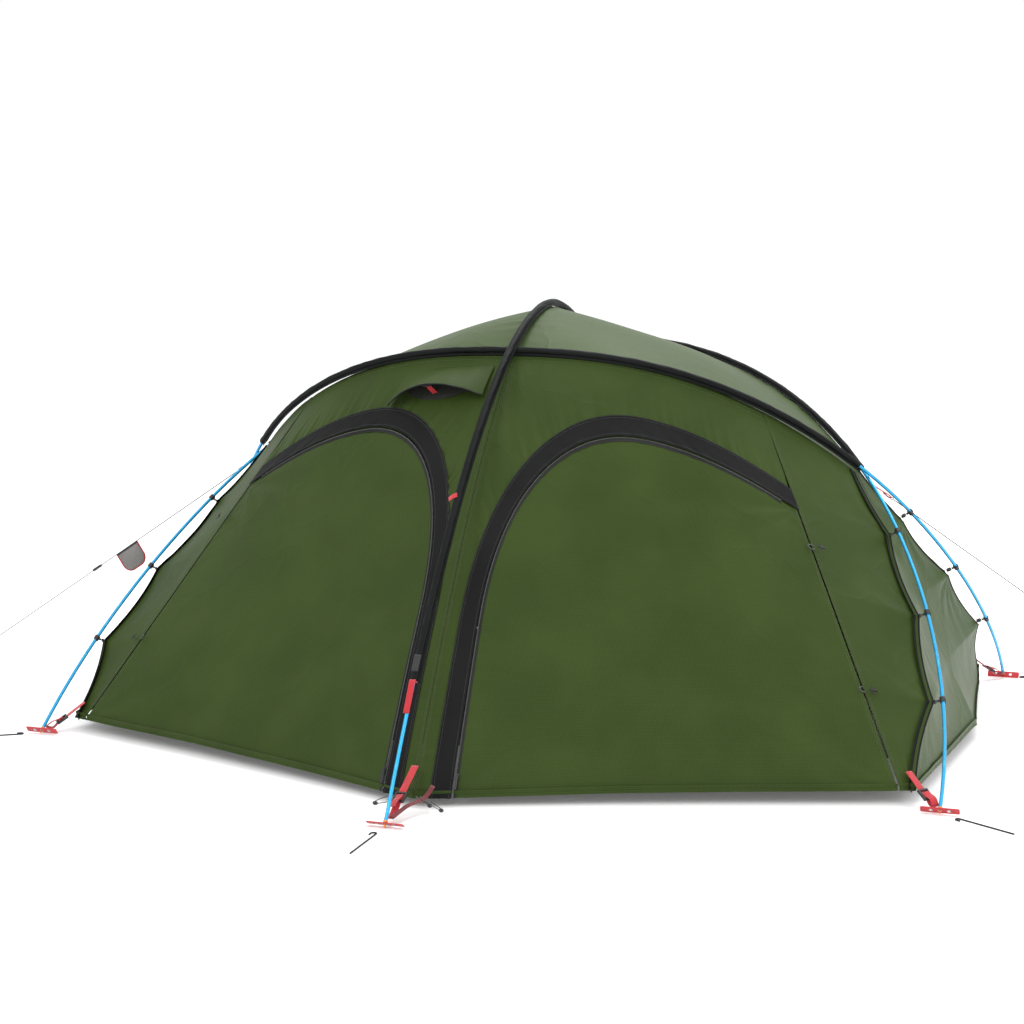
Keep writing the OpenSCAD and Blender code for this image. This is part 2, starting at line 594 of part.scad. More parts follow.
poles(1);  // front_pole
poles(-1);  // rear_pole
poles(0);  // cross_pole
pole_ferrules();
shock_cords();
pole_tips();
long_sleeve(1);  // front_sleeve
long_sleeve(-1);  // rear_sleeve
cross_sleeve();
pole_clips();
clip_rings();
clip_tabs();
mirror([1, 0, 0]) roof_half();  // roof_left
roof_half();  // roof_right
mirror([1, 0, 0]) end_panel();  // end_panel_left
end_panel();  // end_panel_right
quarter(true, false) surround_panel();  // surround_front_left
quarter(false, false) surround_panel();  // surround_front_right
quarter(true, true) surround_panel();  // surround_rear_left
quarter(false, true) surround_panel();  // surround_rear_right
quarter(true, false) leg_panel();  // leg_panel_front_left
quarter(false, false) leg_panel();  // leg_panel_front_right
quarter(true, true) leg_panel();  // leg_panel_rear_left
quarter(false, true) leg_panel();  // leg_panel_rear_right
quarter(true, false) storm_flap();  // storm_flap_front_left
quarter(false, false) storm_flap();  // storm_flap_front_right
quarter(true, true) storm_flap();  // storm_flap_rear_left
quarter(false, true) storm_flap();  // storm_flap_rear_right
quarter(true, false) door_panel();  // door_front_left
quarter(false, false) door_panel();  // door_front_right
quarter(true, true) door_panel();  // door_rear_left
quarter(false, true) door_panel();  // door_rear_right
quarter(true, false) zip_tape();  // zip_front_left
quarter(false, false) zip_tape();  // zip_front_right
quarter(true, true) zip_tape();  // zip_rear_left
quarter(false, true) zip_tape();  // zip_rear_right
quarter(true, false) zip_slider();  // zip_slider_front_left
quarter(false, false) zip_slider();  // zip_slider_front_right
quarter(true, true) zip_slider();  // zip_slider_rear_left
quarter(false, true) zip_slider();  // zip_slider_rear_right
quarter(true, false) vent_hood();  // vent_hood_front
quarter(false, true) vent_hood();  // vent_hood_rear
door_toggles();
crossbars();
grommets();
foot_straps();
ladder_buckles();
guy_tabs();
for (s = [0, 1]) mirror([s, 0, 0]) guyline();  // guylines
mirror([1, 0, 0]) line_lock();  // line_lock_left
line_lock();  // line_lock_right
guy_pouch();
guy_pegs();
foot_pegs();
inner_floor();
inner_canopy();
inner_door();  // inner_door_front
mirror([0, 1, 0]) inner_door();  // inner_door_rear
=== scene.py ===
import math
import bmesh
import bpy
import numpy as np
from mathutils import Matrix, Vector


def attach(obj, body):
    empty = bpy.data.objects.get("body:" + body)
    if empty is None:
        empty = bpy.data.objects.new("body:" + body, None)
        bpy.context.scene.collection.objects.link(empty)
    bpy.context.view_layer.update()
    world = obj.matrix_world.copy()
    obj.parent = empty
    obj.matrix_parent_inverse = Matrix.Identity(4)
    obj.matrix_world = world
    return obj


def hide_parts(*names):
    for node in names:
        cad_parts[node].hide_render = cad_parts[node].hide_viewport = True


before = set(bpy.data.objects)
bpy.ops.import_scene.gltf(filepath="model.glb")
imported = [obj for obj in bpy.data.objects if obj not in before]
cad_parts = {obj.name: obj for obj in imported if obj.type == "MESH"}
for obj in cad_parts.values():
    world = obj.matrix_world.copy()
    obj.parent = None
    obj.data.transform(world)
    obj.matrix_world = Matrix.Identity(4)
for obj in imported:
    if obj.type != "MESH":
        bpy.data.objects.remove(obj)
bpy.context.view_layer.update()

RIGHT, LEFT, FRONT, REAR = 1, -1, 1, -1
SIDES = {"front_left": (LEFT, FRONT), "front_right": (RIGHT, FRONT),
         "rear_left": (LEFT, REAR), "rear_right": (RIGHT, REAR)}

# ---------------------------------------------------------------- camera
# A long lens a little above the tent's top, looking along the right front corner.
camera = bpy.data.objects.new("camera", bpy.data.cameras.new("camera"))
bpy.context.scene.collection.objects.link(camera)
camera.location = (1.846, -5.902, 1.506)
camera.rotation_euler = (math.radians(90 - 8.52), 0, math.radians(18.39))
camera.data.sensor_width = 36
camera.data.lens = 74.74
bpy.context.scene.camera = camera


# ---------------------------------------------------------------- shape of the tent
# The poles are bent by the tent's own tension, so their lines give every seam its place.
HALF_X, FOOT_Y, CROSS_Y, APEX, RIDGE_Y, HEM_Y = 1.250, 0.780, 1.310, 1.195, 0.335, 1.130
ARCH_POWER, PLAN_POWER, SIDE_POWER, FULLNESS = 1.85, 0.82, 1.053, 0.16
POLE_R, TUNNEL_R, FOOT_Z, HANG = 0.00475, 0.009, 0.0165, 0.011
MIDDLE = np.array([0.0, 0.0, 0.3])


def unit(v):
    return v / np.maximum(np.linalg.norm(v, axis=-1, keepdims=True), 1e-12)


def arch(y):
    y = np.asarray(y, float)
    return np.stack([0 * y, y, FOOT_Z + (APEX - FOOT_Z) * (1 - (np.abs(y) / CROSS_Y) ** ARCH_POWER)], -1)


ARCH_SLOPE = ARCH_POWER * (APEX - FOOT_Z) / CROSS_Y * (RIDGE_Y / CROSS_Y) ** 0.85
LONG_H = float(arch(RIDGE_Y)[2]) - (2 * TUNNEL_R + 0.0012) * math.hypot(1, ARCH_SLOPE)
PASS, CROSS_W = 0.015839, FOOT_Y / (FOOT_Y + RIDGE_Y)


def long_pole(a, side):
    """A long pole at turn a, from -pi/2 at its left foot. side 1 has its sleeve at the front."""
    x = np.sign(a) * np.abs(np.sin(a)) ** PLAN_POWER
    w = np.abs(np.cos(a)) ** SIDE_POWER
    z = FOOT_Z + (LONG_H - FOOT_Z) * w * (1 - FULLNESS + FULLNESS * w) + side * PASS / 2 * w * (1
        - w) / (CROSS_W * (1 - CROSS_W))
    return np.stack([HALF_X * x, side * (FOOT_Y - (RIDGE_Y + FOOT_Y) * w), z], -1)


def run_of(p):
    """Length from the start of a line to each of its points."""
    return np.concatenate([[0], np.cumsum(np.linalg.norm(np.diff(p, axis=0), axis=1))])


def outward(p, t):
    d = p - MIDDLE
    return unit(d - (d * t).sum(-1, keepdims=True) * t)


def front_edge(u):
    a = np.arcsin(np.clip(u, 1e-4, 1) ** (1 / PLAN_POWER))
    mirror = np.array([1, -1, 1])
    t = unit(long_pole(a + 0.002, -1) - long_pole(a - 0.002, -1)) * mirror
    p = long_pole(a, -1) * mirror
    return p - HANG * outward(p, t)


def arch_edge(y):
    t = unit(arch(y - 0.001) - arch(y + 0.001))
    return arch(y) - HANG * outward(arch(y), t)


SEAM_HALF, SEAM_TOP = 0.0004, 0.54
HEM = np.array([SEAM_HALF, -HEM_Y, 0.022])
CORNER = np.array([1.180, -0.720, 0.038])
SLEEVE_END = 0.725
HINGE_FOOT = HEM + 0.97 * (CORNER - HEM)
HINGE_TOP = front_edge(np.array(SEAM_TOP))
CROWN = front_edge(np.array(0.0)) + [SEAM_HALF, 0, 0]


def porch(u, v):
    """Front right porch: u from the cross pole to the hinge seam, v from the hem to the sleeve."""
    u, v = np.broadcast_arrays(np.asarray(u, float), np.asarray(v, float))
    y = -(HEM_Y + (RIDGE_Y - HEM_Y) * v)
    u1, v1 = u[..., None], v[..., None]
    base = np.array([SEAM_HALF, 0, 0])
    left = arch_edge(y) + base + (HEM - arch_edge(np.array(-HEM_Y)) - base) * (1 - v1) \
        + (CROWN - arch_edge(np.array(-RIDGE_Y)) - base) * v1 ** 6
    right = HINGE_FOOT + (HINGE_TOP - HINGE_FOOT) * v1
    low = HEM + (HINGE_FOOT - HEM) * u1
    top = front_edge(SEAM_TOP * u) + base * (1 - u1)
    return (1 - u1) * left + u1 * right + (1 - v1) * low + v1 * top \
        - ((1 - u1) * (1 - v1) * HEM + u1 * (1 - v1) * HINGE_FOOT + (1 - u1) * v1 * CROWN + u1 * v1
           * HINGE_TOP)


def raised(p, h):
    return p + np.asarray(h)[..., None] * unit(p - MIDDLE)


def zip_uv(t, k):
    """The zip's line on the porch: k is 0 at the zip and 1 at the flap's sewn edge."""
    t, k = np.broadcast_arrays(np.asarray(t, float), np.asarray(k, float))
    foot, top, tip = 0.078 - 0.045 * k, 0.785 + 0.058 * k, 0.72 + 0.06 * k
    a = np.clip((t - 0.35) / 0.4, 0, 1) * math.pi / 2
    s = np.clip((t - 0.75) / 0.25, 0, 1)
    u = np.where(t < 0.35, foot, np.where(t < 0.75, 0.56 - (0.56 - foot) * np.cos(a) ** 0.87,
                                          0.56 + 0.44 * s))
    v = np.where(t < 0.35, 0.3 * t / 0.35,
                 np.where(t < 0.75, 0.3 + (top - 0.3) * np.sin(a) ** 0.87, top - (top - tip) * s * s))
    return u, v


# ---------------------------------------------------------------- guylines
# Two main guylines of 2.5 mm grey cord run from the crossings of the long poles to pegs.
# Each is knotted at its tab's ring and runs through its line lock.
def material(name, colour, roughness, metallic=0.0, **sockets):
    m = bpy.data.materials.new(name)
    m.use_nodes = True
    p = m.node_tree.nodes["Principled BSDF"]
    p.inputs["Base Color"].default_value = (*colour, 1)
    p.inputs["Roughness"].default_value = roughness
    p.inputs["Metallic"].default_value = metallic
    for key, value in sockets.items():
        p.inputs[key.replace("_", " ")].default_value = value
    return m


def link(tree, a, out, b, socket):
    tree.links.new(a.outputs[out], b.inputs[socket])


def node(tree, kind, **values):
    n = tree.nodes.new(kind)
    for key, value in values.items():
        if key in n.bl_rna.properties:
            setattr(n, key, value)
        else:
            n.inputs[key.replace("_", " ")].default_value = value
    return n


def braid_material(name, colour, fleck, pitch):
    """Braided cord: helical bumps along the cord's own UV, with flecks of a second yarn."""
    m = material(name, colour, 0.75, Sheen_Weight=0.3)
    t = m.node_tree
    uv = node(t, "ShaderNodeUVMap", uv_map="cord")
    wave_a = node(t, "ShaderNodeTexWave", Scale=1 / pitch, Distortion=0.0)
    wave_a.bands_direction = "DIAGONAL"
    noise = node(t, "ShaderNodeTexNoise", Scale=180.0)
    ramp = node(t, "ShaderNodeMix", data_type="RGBA")
    ramp.inputs[6].default_value = (*colour, 1)
    ramp.inputs[7].default_value = (*fleck, 1)
    bump = node(t, "ShaderNodeBump", Strength=0.6, Distance=0.0006)
    link(t, uv, 0, wave_a, "Vector")
    t.links.new(noise.outputs["Fac"], ramp.inputs[0])
    t.links.new(ramp.outputs[2], t.nodes["Principled BSDF"].inputs["Base Color"])
    link(t, wave_a, "Fac", bump, "Height")
    link(t, bump, 0, t.nodes["Principled BSDF"], "Normal")
    return m


def mesh_object(name, verts, faces, mat, smooth=True):
    me = bpy.data.meshes.new(name)
    me.from_pydata([tuple(v) for v in verts], [], faces)
    me.materials.append(mat)
    if smooth:
        me.polygons.foreach_set("use_smooth", [True] * len(me.polygons))
    me.update()
    ob = bpy.data.objects.new(name, me)
    bpy.context.scene.collection.objects.link(ob)
    return ob


def hand_over(ob, body, slot, *stands_for):
    """A piece rides on a body and stands for its nodes, which it hides; its slot is not used."""
    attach(ob, body)
    if stands_for:
        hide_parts(*stands_for)
    return ob


def frames_along(path, up=(0, 0, 1)):
    """Two cross directions at each point of a path, turned as little as can be."""
    p = np.asarray(path, float)
    t = unit(np.gradient(p, axis=0))
    n = np.cross(t[0], np.asarray(up, float))
    n = n / np.linalg.norm(n) if np.linalg.norm(n) > 1e-6 else np.array([1.0, 0, 0])
    out = []
    for ti in t:
        n = n - (n @ ti) * ti
        n = n / np.linalg.norm(n)
        out.append(n)
    n = np.array(out)
    return n, np.cross(t, n)


def tube(name, path, radius, mat, sides=12, closed=False):
    """A round bar along a path, with a UV map in metres: length, and the way round."""
    p = np.asarray(path, float)
    n, b = frames_along(p)
    r = np.broadcast_to(np.asarray(radius, float), (len(p),))
    a = np.linspace(0, 2 * math.pi, sides, endpoint=False)
    ring = p[:, None] + r[:, None, None] * (np.cos(a)[None, :, None] * n[:, None] + np.sin(a)[None, :,
        None] * b[:, None])
    verts = ring.reshape(-1, 3)
    rows = len(p)
    faces = [(i * sides + j, i * sides + (j + 1) % sides, (i + 1) % rows * sides + (j + 1) % sides,
              (i + 1) % rows * sides + j) for i in range(rows if closed else rows - 1) for j in range(sides)]
    if not closed:
        faces += [tuple(range(sides - 1, -1, -1)), tuple((rows - 1) * sides + j for j in range(sides))]
    ob = mesh_object(name, verts, faces, mat)
    length = run_of(p)
    uv = ob.data.uv_layers.new(name="cord")
    for f in ob.data.polygons:
        for k, li in zip(f.vertices, f.loop_indices):
            uv.data[li].uv = (length[k // sides], (k % sides) / sides * 2 * math.pi * float(np.mean(r)))
    return ob


cord_grey = braid_material("guyline braid", (0.03, 0.03, 0.03), (0.07, 0.07, 0.068), 0.004)
GUY_START = np.array([1.0049, 0, 0.662176])
GUY_END = np.array([1.986, 0, 0.009])
GUY_WAY = unit(GUY_END - GUY_START)
for side, sx in (("left", LEFT), ("right", RIGHT)):
    path = [(GUY_START + (GUY_END - GUY_START) * i / 39) * [sx, 1, 1] for i in range(40)]
    line = tube(f"guyline_{side}", path, 0.00125, cord_grey, 10)
    hand_over(line, "root", "line", "guylines")


# ---------------------------------------------------------------- cloth
# Coated ripstop nylon. A grid of points on the outer face becomes a thin closed sheet, and its
# UV map is in metres along and across the cut, so that every weave runs with the cloth.
def rnd(seed):
    return np.random.RandomState(seed)


def sines(x, seed, waves):
    """A smooth line of mixed waves, given as (wavelength in metres, height)."""
    r = rnd(seed)
    out = 0 * x
    for wave, height in waves:
        slow = 0.6 + 0.4 * np.sin(2 * math.pi * x / (wave * r.uniform(4, 7)) + r.uniform(0, 6))
        out = out + height * slow * np.sin(2 * math.pi * x / wave + r.uniform(0, 6) + 0.8 * np.sin(x / wave))
    return out


def swell(p, seed, scale, height):
    """Soft uneven swells over a surface, from a few seeded plane waves."""
    r = rnd(seed)
    out = np.zeros(p.shape[:-1])
    for _ in range(7):
        d = r.normal(size=3)
        d /= np.linalg.norm(d)
        k = 2 * math.pi / (scale * r.uniform(0.6, 1.7))
        out += np.sin(k * (p @ d) + r.uniform(0, 6)) * r.uniform(0.4, 1)
    return height * out / 3


def lengths(grid, axis):
    step = np.linalg.norm(np.diff(grid, axis=axis), axis=-1)
    pad = [(0, 0), (0, 0)]
    pad[axis] = (1, 0)
    return np.cumsum(np.pad(step, pad), axis=axis)


def normals(grid):
    n = unit(np.cross(np.gradient(grid, axis=0), np.gradient(grid, axis=1)))
    flip = np.sign(((grid - MIDDLE) * n).sum(-1).mean())
    return n * flip


def cloth(name, grid, mat, thick=0.0006, flat_uv=None, sign=(1, 1)):
    """A closed sheet: outer face on the grid, inner face one thickness inside, and a rim."""
    grid = np.asarray(grid, float)
    inner = grid - thick * normals(grid)
    rows, cols = grid.shape[:2]
    turn = np.array([sign[0], sign[1], 1.0])
    verts = np.concatenate([grid.reshape(-1, 3), inner.reshape(-1, 3)]) * turn
    n = rows * cols
    i, j = np.meshgrid(np.arange(rows - 1), np.arange(cols - 1), indexing="ij")
    a = (i * cols + j).ravel()
    top = np.stack([a, a + 1, a + cols + 1, a + cols], 1)
    out_way = np.sign((np.cross(np.gradient(grid, axis=0), np.gradient(grid, axis=1))
                       * (grid - MIDDLE)).sum()) * sign[0] * sign[1]
    if out_way > 0:
        top = top[:, ::-1]
    bottom = top[:, ::-1] + n
    edge = [(k, k + 1) for k in range(cols - 1)] + [(k * cols + cols - 1, (k + 1) * cols + cols - 1)
                                                    for k in range(rows - 1)]
    edge += [(n - 1 - k, n - 2 - k) for k in range(cols - 1)] + [((rows - 1 - k) * cols,
                                                                  (rows - 2 - k) * cols)
                                                                 for k in range(rows - 1)]
    rim = [(b, c, c + n, b + n) if out_way > 0 else (c, b, b + n, c + n) for b, c in edge]
    ob = mesh_object(name, verts, [tuple(f) for f in top] + [tuple(f) for f in bottom] + rim, mat)
    me = ob.data
    me.polygons.foreach_set("use_smooth", [True] * (2 * len(top)) + [False] * len(rim))
    if flat_uv is None:
        flat_uv = np.stack([lengths(grid, 1), lengths(grid, 0)], -1)
    uv_all = np.concatenate([flat_uv.reshape(-1, 2)] * 2)
    layer = me.uv_layers.new(name="cloth")
    loops = np.empty(len(me.loops), int)
    me.loops.foreach_get("vertex_index", loops)
    layer.data.foreach_set("uv", uv_all[loops].ravel())
    bm = bmesh.new()
    bm.from_mesh(me)
    for e in bm.edges:
        if len(e.link_faces) == 2 and e.link_faces[0].smooth != e.link_faces[1].smooth:
            e.smooth = False
    bm.to_mesh(me)
    bm.free()
    return ob


def declare_cloth(ob, body, slot, nodes=()):
    """Rides on its body and stands for its CAD node."""
    hand_over(ob, body, slot, *nodes)
    return ob


def group(name, inputs, outputs):
    g = bpy.data.node_groups.new(name, "ShaderNodeTree")
    for key, kind, default in inputs:
        s = g.interface.new_socket(name=key, in_out="INPUT", socket_type=kind)
        s.default_value = default
    for key, kind in outputs:
        g.interface.new_socket(name=key, in_out="OUTPUT", socket_type=kind)
    return g, g.nodes.new("NodeGroupInput"), g.nodes.new("NodeGroupOutput")


def math_node(t, op, a, b=None, clamp=False):
    n = t.nodes.new("ShaderNodeMath")
    n.operation = op
    n.use_clamp = clamp
    for i, x in enumerate((a, b)):
        if x is None:
            continue
        if isinstance(x, (int, float)):
            n.inputs[i].default_value = x
        else:
            t.links.new(x, n.inputs[i])
    return n.outputs[0]


def mix_colour(t, fac, a, b):
    n = t.nodes.new("ShaderNodeMix")
    n.data_type = "RGBA"
    for i, x in ((0, fac), (6, a), (7, b)):
        if isinstance(x, (int, float)):
            n.inputs[i].default_value = x
        elif isinstance(x, tuple):
            n.inputs[i].default_value = (*x, 1)
        else:
            t.links.new(x, n.inputs[i])
    return n.outputs[2]


def weave_group():
    """Plain weave with a ripstop grid, as a height and a mask of the ripstop threads."""
    g, gin, gout = group("ripstop weave", [("Thread", "NodeSocketFloat", 0.0006),
                                           ("Ripstop", "NodeSocketFloat", 0.006)],
                         [("Height", "NodeSocketFloat"), ("Grid", "NodeSocketFloat")])
    uv = g.nodes.new("ShaderNodeUVMap")
    uv.uv_map = "cloth"
    sep = g.nodes.new("ShaderNodeSeparateXYZ")
    g.links.new(uv.outputs[0], sep.inputs[0])
    two_pi = 2 * math.pi
    wave = [math_node(g, "SINE", math_node(g, "DIVIDE", math_node(g, "MULTIPLY", sep.outputs[i], two_pi),
                                           gin.outputs["Thread"])) for i in (0, 1)]
    lines = [math_node(g, "POWER", math_node(g, "ABSOLUTE", math_node(g, "COSINE", math_node(
        g, "DIVIDE", math_node(g, "MULTIPLY", sep.outputs[i], math.pi), gin.outputs["Ripstop"]))),
        24.0) for i in (0, 1)]
    grid = math_node(g, "MAXIMUM", lines[0], lines[1])
    height = math_node(g, "ADD", math_node(g, "MULTIPLY", math_node(g, "MULTIPLY", wave[0], wave[1]),
                                           0.35), grid)
    g.links.new(height, gout.inputs["Height"])
    g.links.new(grid, gout.inputs["Grid"])
    return g


def effect(t, tree, **values):
    n = t.nodes.new("ShaderNodeGroup")
    n.node_tree = tree
    for key, value in values.items():
        n.inputs[key].default_value = value
    return n


def crease_group():
    """Fine creases from packing and soft mottling, on the object's own coordinates."""
    g, gin, gout = group("packing creases", [("Scale", "NodeSocketFloat", 5.0)],
                         [("Height", "NodeSocketFloat"), ("Mottle", "NodeSocketFloat")])
    co = g.nodes.new("ShaderNodeTexCoord")
    warp = g.nodes.new("ShaderNodeTexNoise")
    warp.inputs["Detail"].default_value = 2.0
    g.links.new(co.outputs["Object"], warp.inputs["Vector"])
    g.links.new(gin.outputs["Scale"], warp.inputs["Scale"])
    add = g.nodes.new("ShaderNodeVectorMath")
    add.operation = "MULTIPLY_ADD"
    g.links.new(warp.outputs["Color"], add.inputs[0])
    add.inputs[1].default_value = (0.25, 0.25, 0.25)
    g.links.new(co.outputs["Object"], add.inputs[2])
    vor = g.nodes.new("ShaderNodeTexVoronoi")
    vor.feature = "DISTANCE_TO_EDGE"
    g.links.new(add.outputs[0], vor.inputs["Vector"])
    g.links.new(gin.outputs["Scale"], vor.inputs["Scale"])
    crease = math_node(g, "POWER", math_node(g, "SUBTRACT", 1.0,
                                             math_node(g, "MULTIPLY", vor.outputs["Distance"], 5.0, True),
                                             True), 3.0)
    fine = g.nodes.new("ShaderNodeTexNoise")
    fine.inputs["Scale"].default_value = 28.0
    fine.inputs["Detail"].default_value = 5.0
    g.links.new(co.outputs["Object"], fine.inputs["Vector"])
    height = math_node(g, "ADD", math_node(g, "MULTIPLY", crease, 0.5),
                       math_node(g, "MULTIPLY", fine.outputs["Fac"], 0.6))
    g.links.new(height, gout.inputs["Height"])
    g.links.new(warp.outputs["Fac"], gout.inputs["Mottle"])
    return g


WEAVE, CREASE = weave_group(), crease_group()
shapes = {}


def cloth_material(name, colour, pale, roughness, sheen=0.0, crease=0.28, thread=0.0006, ripstop=0.006,
                   creases=5.0, grid_pale=0.02, specular=0.08):
    """Cloth: two close shades mottled, paler ripstop threads, creases and weave in the bump."""
    m = material(name, colour, roughness, Sheen_Weight=sheen, Sheen_Roughness=0.4,
                 Specular_IOR_Level=specular)
    t = m.node_tree
    p = t.nodes["Principled BSDF"]
    w = effect(t, WEAVE, Thread=thread, Ripstop=ripstop)
    c = effect(t, CREASE, Scale=creases)
    ramp = t.nodes.new("ShaderNodeMapRange")
    ramp.inputs["From Min"].default_value = 0.35
    ramp.inputs["From Max"].default_value = 0.65
    t.links.new(c.outputs["Mottle"], ramp.inputs["Value"])
    base = mix_colour(t, ramp.outputs[0], colour, pale)
    shade = mix_colour(t, math_node(t, "MULTIPLY", w.outputs["Grid"], grid_pale), base, (0.8, 0.8, 0.75))
    t.links.new(shade, p.inputs["Base Color"])
    rough = math_node(t, "ADD", math_node(t, "MULTIPLY", c.outputs["Mottle"], 0.15), roughness - 0.07)
    t.links.new(rough, p.inputs["Roughness"])
    b1 = node(t, "ShaderNodeBump", Strength=crease, Distance=0.006)
    b2 = node(t, "ShaderNodeBump", Strength=0.25, Distance=0.0002)
    t.links.new(c.outputs["Height"], b1.inputs["Height"])
    t.links.new(w.outputs["Height"], b2.inputs["Height"])
    t.links.new(b1.outputs[0], b2.inputs["Normal"])
    t.links.new(b2.outputs[0], p.inputs["Normal"])
    return m


fly_green = cloth_material("fly green ripstop", (0.026, 0.046, 0.0065), (0.032, 0.055, 0.0085), 0.45)
# The roof and end panels are the fly's own cloth. Their paler green is painted light, standing in for the
# sheen and glow of these upward-facing panels.
roof_green_painted_light = cloth_material("roof green ripstop with painted light", (0.040, 0.066, 0.018), (0.047, 0.076, 0.022), 0.42,
                            specular=0.12)
flap_grey = cloth_material("storm flap grey", (0.0075, 0.0075, 0.008), (0.0105, 0.0105, 0.011), 0.55,
                           grid_pale=0.0, specular=0.08)
tunnel_black = cloth_material("pole tunnel black", (0.0035, 0.0042, 0.0042), (0.006, 0.0068, 0.007), 0.5,
                              grid_pale=0.0,
                              crease=0.15, specular=0.12)


# ---------------------------------------------------------------- porch surrounds
# The surround is sewn to the tunnels of the cross pole and of the long pole, and frames the
# zipped door. The zip's curve gathers it, so its cloth puckers square to the flap.
def border_uv(t):
    u = np.where(t < 0.55, 0, np.where(t < 0.75, 0.56 * (t - 0.55) / 0.2, 0.56 + 0.44 * (t - 0.75) / 0.25))
    v = np.where(t < 0.35, 0.3 * t / 0.35, np.where(t < 0.55, 0.3 + 0.7 * (t - 0.35) / 0.2, 1))
    return u, v


ALONG = np.linspace(0, 1, 260)


def surround_grid(seed):
    t, j = np.meshgrid(ALONG, np.linspace(0, 1, 26), indexing="ij")
    bu, bv = border_uv(t)
    zu, zv = zip_uv(t, 0.0)
    flat = porch(bu + (zu - bu) * j, bv + (zv - bv) * j)
    s = lengths(flat, 0)[:, -1:]
    across = lengths(flat, 1)
    left = across[:, -1:] - across
    free = 1 - np.exp(-(across / 0.02) ** 2)
    pucker = sines(s + 0 * j, seed, ((0.041, 1.0), (0.027, 0.7),
                                     (0.083, 0.8))) * np.exp(-np.maximum(left - 0.05, 0) / 0.045)
    sewn = sines(s * 1.3 + 0 * j, seed + 1, ((0.034, 0.8), (0.055, 0.8))) * np.exp(-across / 0.035)
    wide = sines(s + 0.6 * across, seed + 2, ((0.16, 1.0), (0.31, 1.4)))
    clear = np.clip((left - 0.052) / 0.022, 0, 1)
    lift = (0.0042 * pucker + 0.0011 * sewn * (1 - np.exp(-(across / 0.006) ** 2))
            + 0.0016 * wide * free) * clear
    tall = np.minimum(np.minimum(across, left + 0.05) / 0.05, 1)
    return flat, raised(flat, lift * tall)


for index, (side, sign) in enumerate(SIDES.items()):
    flat, shaped = surround_grid(11 + 5 * index)
    shapes[f"surround_{side}"] = shaped
    ob = cloth(f"surround_{side}_cloth", shaped, fly_green, sign=sign)
    declare_cloth(ob, "root", "fly", [f"surround_{side}"])


# ---------------------------------------------------------------- doors
# Each porch door hangs on its straight seam. The zip runs round its other edge, and the
# cloth is stretched from the seam to the zip, with folds fanning out of its low corners.
def door_grid(seed):
    t, j = np.meshgrid(ALONG * 0.985, np.linspace(0, 1, 90), indexing="ij")
    zu, zv = zip_uv(t, -0.06)
    tip = float(zip_uv(0.985, -0.06)[1])
    su, sv = 0.997, tip * t / 0.985 - 0.004 * t
    flat = porch(zu + 0.001 + (su - zu - 0.001) * j, zv + (sv - zv) * j)
    s = lengths(flat, 0)
    across = lengths(flat, 1)
    back = across[:, -1:] - across
    edge = np.minimum(across, back)
    free = 1 - np.exp(-(edge / 0.03) ** 2)
    pucker = sines(s[:, :1] + 0 * j, seed, ((0.035, 1.0), (0.06, 0.9), (0.024, 0.5))) * np.exp(-across / 0.04)
    hinge = sines(s[:, -1:] + 0 * j, seed + 1, ((0.05, 1.0), (0.09, 1.0))) * np.exp(-back / 0.05)
    fan = np.zeros_like(across)
    for corner, turns, reach in ((flat[0, -1], 17, 0.45), (flat[0, 0], 11, 0.35), (flat[-1, -1], 13, 0.35)):
        d = flat - corner
        r = np.linalg.norm(d, axis=-1)
        angle = np.arctan2(d[..., 2], np.hypot(d[..., 0], d[..., 1]) * np.sign(d[..., 0] + 1e-9))
        fan += np.sin(turns * angle + seed) * np.minimum(r / 0.1, 1) * np.exp(-r / reach)
    lift = 0.0009 * pucker * (1 - np.exp(-(across / 0.008) ** 2)) + 0.0008 * hinge * (1
        - np.exp(-(back / 0.01) ** 2)) \
        + 0.0022 * fan * free + swell(flat, seed + 3, 0.55,
                                      0.0035) * free - 0.010 * free * np.minimum(edge / 0.4, 1)
    return flat, raised(flat, lift)


for index, (side, sign) in enumerate(SIDES.items()):
    flat, shaped = door_grid(41 + 7 * index)
    shapes[f"door_{side}"] = shaped
    ob = cloth(f"door_{side}_cloth", shaped, fly_green, sign=sign)
    declare_cloth(ob, f"door_{side}", "fly", [f"door_{side}"])


# ---------------------------------------------------------------- leg panels and end panels
# Between the hinge seam and the leg's clips the fly runs on in a narrow panel, and each end
# is one wide panel pulled out to a peg at its middle. Their shared edge is scalloped between the clip tabs.
clip_s = (0.207, 0.142, 0.077)


def arc_table():
    a = np.linspace(-math.pi / 2, math.pi / 2, 91)
    p = long_pole(a, 1)
    s = run_of(p)
    return s / s[-1], a


ARC_S, ARC_A = arc_table()


def rear_leg(s):
    a = np.interp(1 - s, ARC_S, ARC_A)
    return long_pole(a, -1)


def rear_leg_out(s):
    t = unit(rear_leg(s - 5e-4) - rear_leg(s + 5e-4))
    return outward(rear_leg(s), t)


TABS = [rear_leg(s) - 0.024 * rear_leg_out(s) for s in clip_s]
ANCHORS = np.array([front_edge(np.array(SLEEVE_END))] + TABS + [CORNER])


def ridge(f, sag=0.012):
    n = len(ANCHORS) - 1
    i = np.minimum(n - 1, np.floor(f * n)).astype(int)
    g = (f * n - i)[..., None]
    p = ANCHORS[i] + (ANCHORS[i + 1] - ANCHORS[i]) * g
    deep = np.where(i == 0, 0.4, 1.0)[..., None]
    return p - deep * sag * 4 * g * (1 - g) * unit(p - [0, 0, 0.1])


